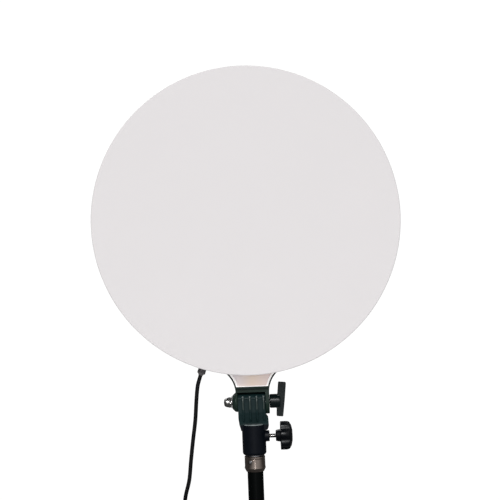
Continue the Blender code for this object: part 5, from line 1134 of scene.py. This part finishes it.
ring_place = switch_place + rocker_turn @ Vector((0, 1.98, -2.2))
ring = pipe(1, 0.7, -0.14, 0.14, 32, 0)
stroke = block((-0.25, 1.85, 1.2), (0.25, 2.12, 3.1), 0.05)
for name, mesh, material, node, place, turn in (
    ("rocker", plate(rocker_side, ROCKER_WIDTH, 0.3), knob_nylon, "power_rocker", switch_place, SIDEWAYS),
    ("rocker_line", stroke, print_white, None, switch_place, NO_TURN),
    ("rocker_ring", ring, print_white, None, ring_place, BACKWARD),
):
    made_of(name, mesh, material, "power_rocker", "knob_plastic", node, place, rocker_turn @ turn)

# Power jack and plug
# The jack's round mouth shows in the panel's rim, to the left of the neck. The black moulded
# plug has three grip rings and tapers to the lead.
JACK_START = PANEL_RADIUS - 17.8
JACK_END = PANEL_RADIUS - GAP
PLUG_START = PANEL_RADIUS + GAP
PLUG_END = PLUG_START + 8.6
PLUG_RADIUS = 4.9
PLUG_TIP = PLUG_START - 9
TIP_RADIUS = 2.7
LEAD_RADIUS = 2.4
plug_rubber = surface("plug_rubber", (0.075, 0.07, 0.075), 0.5, 0.3, 0.02, gleam=0.3)
bore = TIP_RADIUS + GAP
jack_section = [
    (0, PLUG_TIP - GAP), (bore, PLUG_TIP - GAP), (bore, JACK_END - 0.4), (bore + GAP, JACK_END),
    (4, JACK_END), (4, JACK_START), (0, JACK_START),
]
jack_mesh = turned(jack_section, 48, 0)
jack = made_of("jack", jack_mesh, soft_black, "panel", "lead_plastic", "dc_jack", rim_centre, rim_turn)
join(jack, block((-5, -4.3, JACK_START), (5, 4.3, JACK_START + 13)), rim_centre, rim_turn)
cut(jack, rod(bore, PLUG_TIP - GAP, PANEL_RADIUS, 48), rim_centre, rim_turn)
settle(jack)
grip_rings = []
for index in range(3):
    top = PLUG_END - 3.2 - index * 1.6
    grip_rings += shifted(PLUG_RADIUS, top, (0, 0), (-0.4, -0.25), (-0.4, -0.7), (0, -0.95))
plug_section = [
    (0, PLUG_END), *shifted(LEAD_RADIUS, PLUG_END, (0.4, 0), (0.9, -1.4)),
    (PLUG_RADIUS, PLUG_END - 2.2),
    *grip_rings,
    (PLUG_RADIUS, PLUG_START), (TIP_RADIUS, PLUG_START),
    *shifted(TIP_RADIUS, PLUG_TIP, (0, 0.4), (-0.4, 0), (-TIP_RADIUS, 0)),
]
plug_mesh = turned(plug_section, 48, 0.12)
plug = made_of("plug", plug_mesh, plug_rubber, "panel", "lead_plastic", "dc_plug", rim_centre, rim_turn)

# Mains adapter
# A black case in two halves, tied beside the tube, with the mains pins on its outer half. The
# lead enters its lower end through a ribbed strain relief.
ADAPTER_LOW = Vector([span("adapter_front_case", axis)[0] for axis in "xyz"])
ADAPTER_HIGH = Vector([span("adapter_rear_case", axis)[1] for axis in "xyz"])
ADAPTER_MIDDLE = (ADAPTER_LOW + ADAPTER_HIGH) / 2
ADAPTER_HALF = (ADAPTER_HIGH - ADAPTER_LOW) / 2
CASE_WALL = 2
PIN_HEIGHT = 210
PIN_SPACING = 18.6
RELIEF_LOW, RELIEF_HIGH = span("adapter_strain_relief", "z")


def case_outline(inset, corner):
    """The adapter's side view, its corners rounded."""
    wide, tall = ADAPTER_HALF.y - inset, ADAPTER_HALF.z - inset
    return rounded([(-wide, -tall), (wide, -tall), (wide, tall), (-wide, tall)], corner, True, 8)


case_black = surface("case_black", (0.010, 0.010, 0.011), 0.45, 0.6, 0.06, drift=0.15, gleam=0.3)
for node, side in (("adapter_front_case", 1), ("adapter_rear_case", -1)):
    skin = plate(case_outline(0, 5), 2 * ADAPTER_HALF.x, 2.4)
    case = made_of(f"{node}_skin", skin, case_black, "head", "lead_plastic", node, ADAPTER_MIDDLE, SIDEWAYS)
    seam = ADAPTER_MIDDLE.x - side * GAP / 2
    far_x = seam + side * 2 * ADAPTER_HALF.x
    low = (min(seam, far_x), -40, ADAPTER_LOW.z - 10)
    cut(case, block(low, (max(seam, far_x), 40, ADAPTER_HIGH.z + 10)))
    cut(case, plate(case_outline(CASE_WALL, 3), 2 * (ADAPTER_HALF.x - CASE_WALL)), ADAPTER_MIDDLE, SIDEWAYS)
    cut(case, rod(3.5, ADAPTER_LOW.z - 5, ADAPTER_LOW.z + 5), (ADAPTER_MIDDLE.x, 0, 0))
    if node == "adapter_rear_case":
        for y in (-PIN_SPACING / 2, PIN_SPACING / 2):
            cut(case, rod(2.3, ADAPTER_HIGH.x - 6, ADAPTER_HIGH.x + 2), (0, y, PIN_HEIGHT), RIGHTWARD)
    settle(case)
finish_node("adapter_board", fibreglass)
pin_root, pin_end = span("adapter_pin_1", "x")
pin_length = pin_end - pin_root
pin_section = [(0, pin_length), (1.2, pin_length), (1.95, pin_length - 1.2), (1.95, 0), (0, 0)]
for index, y in enumerate((-PIN_SPACING / 2, PIN_SPACING / 2), 1):
    place = ((pin_root, y, PIN_HEIGHT), RIGHTWARD)
    pin = turned(pin_section, 32)
    made_of(f"mains_pin_{index}", pin, chrome, "head", "chrome", f"adapter_pin_{index}", *place)
    sleeve = pipe(2, 1.93, 3, pin_length / 2 + 2, 32, 0)
    made_of(f"pin_sleeve_{index}", sleeve, soft_black, "head", "lead_plastic", None, *place)
relief_length = RELIEF_HIGH - RELIEF_LOW
ribs = []
for index in range(5):
    rib_z = 2 + index * 2.3
    radius = LEAD_RADIUS + 0.7 + 1.1 * rib_z / 14
    ribs += shifted(radius, rib_z, (-0.5, -0.9), (-0.5, -0.2), (0, 0), (0, 1.2))
relief_section = [
    (0, 0), (LEAD_RADIUS + 0.5, 0),
    *ribs,
    (4.2, 12.8), (4.2, 13.7), (3.2, 13.7), (3.2, relief_length), (0, relief_length),
]
relief_mesh = turned(relief_section[::-1], 40, 0.1)
relief_place = (ADAPTER_MIDDLE.x, 0, RELIEF_LOW)
relief = made_of(
    "strain_relief", relief_mesh, plug_rubber, "head", "lead_plastic", "adapter_strain_relief", relief_place
)

# Cable strap
# A woven hook-and-loop strap holds the coiled lead and the adapter to the tube. Its free end
# laps over the outer side of the adapter.
COIL_TURNS = 7.25
COIL_LAYERS = 4
COIL_RADIUS = 25.3
COIL_PITCH = 5.1
COIL_BUILD = COIL_PITCH * COIL_TURNS / COIL_LAYERS
COIL_CENTRE = Vector((-TUBE_RADIUS - 0.4 - COIL_RADIUS - COIL_BUILD / 2 - LEAD_RADIUS, 0, 190))
STRAP_WIDTH = 12
STRAP_THICKNESS = 1.5
STRAP_GAP = 2 * GAP
LAP_THICKNESS = 1.3


def strap_line(offset):
    """The strap's path round coil, tube and adapter, seen from above."""
    inner = COIL_RADIUS - COIL_BUILD / 2
    left = COIL_CENTRE.x + sqrt(inner**2 - (STRAP_WIDTH / 2) ** 2)
    left_y = COIL_PITCH * (COIL_LAYERS - 1) / 2
    near = ADAPTER_LOW.x + LEAD_RADIUS
    right_y = ADAPTER_HALF.y - LEAD_RADIUS
    lean = atan2(right_y - left_y, near - left)
    radius = LEAD_RADIUS + offset
    quarter = pi / 2
    upper = [
        *arc(ADAPTER_HIGH.x - LEAD_RADIUS, right_y, radius, 0, quarter, 9),
        *arc(near, right_y, radius, quarter, quarter + lean, 5),
        *arc(left, left_y, radius, quarter + lean, pi, 9),
    ]
    return upper + [(x, -y) for x, y in reversed(upper)]


webbing = surface("webbing", (0.011, 0.011, 0.012), 0.85, 0.5, 0.12, drift=0.4, patch=1.2, gleam=0.2)
webbing_tree = webbing.node_tree
weave = add_node(webbing_tree, "TexWave", Scale=1 / (3.4 * MM), Distortion=1.5, Detail=2)
weave.bands_direction = "Z"
weave_bump = add_node(webbing_tree, "Bump", Strength=0.8, Distance=0.25 * MM)
link(
    webbing_tree,
    (webbing_tree.nodes["Texture Coordinate"], "Object", weave, "Vector"),
    (weave, "Fac", weave_bump, "Height"),
    (weave_bump, "Normal", webbing_tree.nodes["Bump"], "Normal"),
)
strap_place = (0, 0, COIL_CENTRE.z)
loop = plate(strap_line(STRAP_GAP + STRAP_THICKNESS), STRAP_WIDTH, 0.5)
strap = made_of("strap_loop", loop, webbing, "head", "strap_nylon", "cable_strap", strap_place)
cut(strap, plate(strap_line(STRAP_GAP), 2 * STRAP_WIDTH), strap_place)
settle(strap)
lap_inner = ADAPTER_HIGH.x + STRAP_GAP + STRAP_THICKNESS
lap_side = [
    *shifted(lap_inner, 0, (-0.4, -15), (0.2, -15.4)),
    *shifted(lap_inner + LAP_THICKNESS, 0, (0, -14.6), (0.1, -2), (0.3, 8), (1.4, 14)),
    *shifted(lap_inner, 0, (1.3, 14.3), (0.2, 8), (0, -2)),
]
lap_mesh = plate(lap_side, STRAP_WIDTH - 0.6, 0.4)
lap = made_of("strap_lap", lap_mesh, webbing, "head", "strap_nylon", None, strap_place)

# Power lead
# A round black PVC lead hangs from the plug, along the tube to a flat coil of seven turns, and
# then to the adapter. It is soft.
RING_STEP = 1.2
RING_SIDES = 14
COIL_POINTS_A_TURN = 24
LINE_STEPS = 24


def smooth_line(points):
    """A smooth line through the points, in short steps."""
    ends = [points[0] * 2 - points[1], *points, points[-1] * 2 - points[-2]]
    fine = []
    for before, first, second, after in zip(ends, ends[1:], ends[2:], ends[3:]):
        for step in range(LINE_STEPS):
            t = step / LINE_STEPS
            curve = 2 * first + (second - before) * t
            curve += (2 * before - 5 * first + 4 * second - after) * t**2
            curve += (3 * first - before - 3 * second + after) * t**3
            fine.append(curve / 2)
    return [*fine, points[-1]]


def even_steps(line, step):
    """The same line with its points a step apart."""
    lengths = [0]
    for first, second in zip(line, line[1:]):
        lengths.append(lengths[-1] + (second - first).length)
    count = round(lengths[-1] / step)
    points, at_point = [], 0
    for index in range(count + 1):
        target = lengths[-1] * index / count
        while at_point < len(line) - 2 and lengths[at_point + 1] < target:
            at_point += 1
        share = (target - lengths[at_point]) / (lengths[at_point + 1] - lengths[at_point])
        points.append(line[at_point].lerp(line[at_point + 1], share))
    return points


def coil_line():
    """Four layers side by side, wound inwards and outwards in turn."""
    per_layer = COIL_TURNS / COIL_LAYERS
    outer = COIL_RADIUS + COIL_BUILD / 2
    count = round(COIL_TURNS * COIL_POINTS_A_TURN)
    points = []
    for index in range(count + 1):
        turns = COIL_TURNS * index / count
        layer = min(int(turns / per_layer), COIL_LAYERS - 1)
        share = turns / per_layer - layer
        radius = outer - COIL_BUILD * (share if layer % 2 == 0 else 1 - share)
        y = -COIL_PITCH * (COIL_LAYERS - 1) / 2
        for change in range(1, COIL_LAYERS):
            climb = min(max((turns - change * per_layer) / 0.5 + 0.5, 0), 1)
            y += COIL_PITCH * climb * climb * (3 - 2 * climb)
        angle = pi + TURN * turns
        points.append(COIL_CENTRE + Vector((radius * cos(angle), y, radius * sin(angle))))
    run_in = points[0] + Vector((0, 0, 2 * LEAD_RADIUS))
    run_out = points[-1] + Vector((2 * LEAD_RADIUS, 0, 0))
    return [run_in, *points, run_out]


def tube(line, radius, sides):
    """A round tube that follows the line without twisting, closed at both ends."""
    side = Vector((0, 1, 0))
    rings = []
    for index, point in enumerate(line):
        along = (line[min(index + 1, len(line) - 1)] - line[max(index - 1, 0)]).normalized()
        side = (side - along * side.dot(along)).normalized()
        other = along.cross(side)
        angles = [TURN * corner / sides for corner in range(sides)]
        rings.append([point + radius * (side * cos(a) + other * sin(a)) for a in angles])
    return skinned(rings)


lead_exit = rim_centre + rimward * (PLUG_END + GAP)
coil = coil_line()
hanging = [
    (-64, -28.5, 387), (-66, -28.5, 371), (-68.2, -28.2, 347.5), (-71.8, -27.6, 324), (-75.1, -27, 300.5),
    (-78.1, -26.2, 277.2), (-83.6, -24, 256), (-85, -20, 236), (-81.5, -15, 222), (-75.7, -10.2, 209),
]
upper_points = [lead_exit, lead_exit + rimward * 5, *map(Vector, hanging)]
upper_points += [coil[0] + Vector((-0.6, -0.2, 6.3)), coil[0] + Vector((0, 0, 0.3))]
relief_entry = Vector((ADAPTER_MIDDLE.x, 0, RELIEF_LOW - GAP))
tail = [
    (-20, 11.5, 157), (-10.5, 13.8, 149), (-6.5, 14.6, 138.5), (-5.5, 14.5, 127.5), (-1.5, 13.4, 117.5),
    (8.8, 9.4, 113.2), (19, 4, 117.6), (23.2, 0.6, 127.5),
]
tail_points = [coil[-1] + Vector((0.3, 0, 0)), coil[-1] + Vector((6.3, 0.3, 0)), *map(Vector, tail)]
tail_points += [relief_entry - Vector((0, 0, 7)), relief_entry]
whole_line = [*smooth_line(upper_points), *smooth_line(coil), *smooth_line(tail_points)]
lead_line = even_steps(whole_line, RING_STEP)
lead_black = surface("lead_black", (0.003, 0.003, 0.0035), 0.42, 0.5, 0.02, drift=0.3, patch=20, gleam=0.12)
lead = new_object("power_lead", tube(lead_line, LEAD_RADIUS, RING_SIDES))
lead.data.materials.append(lead_black)
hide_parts("dc_lead", "dc_lead_coil", "dc_lead_tail")
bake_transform(lead)
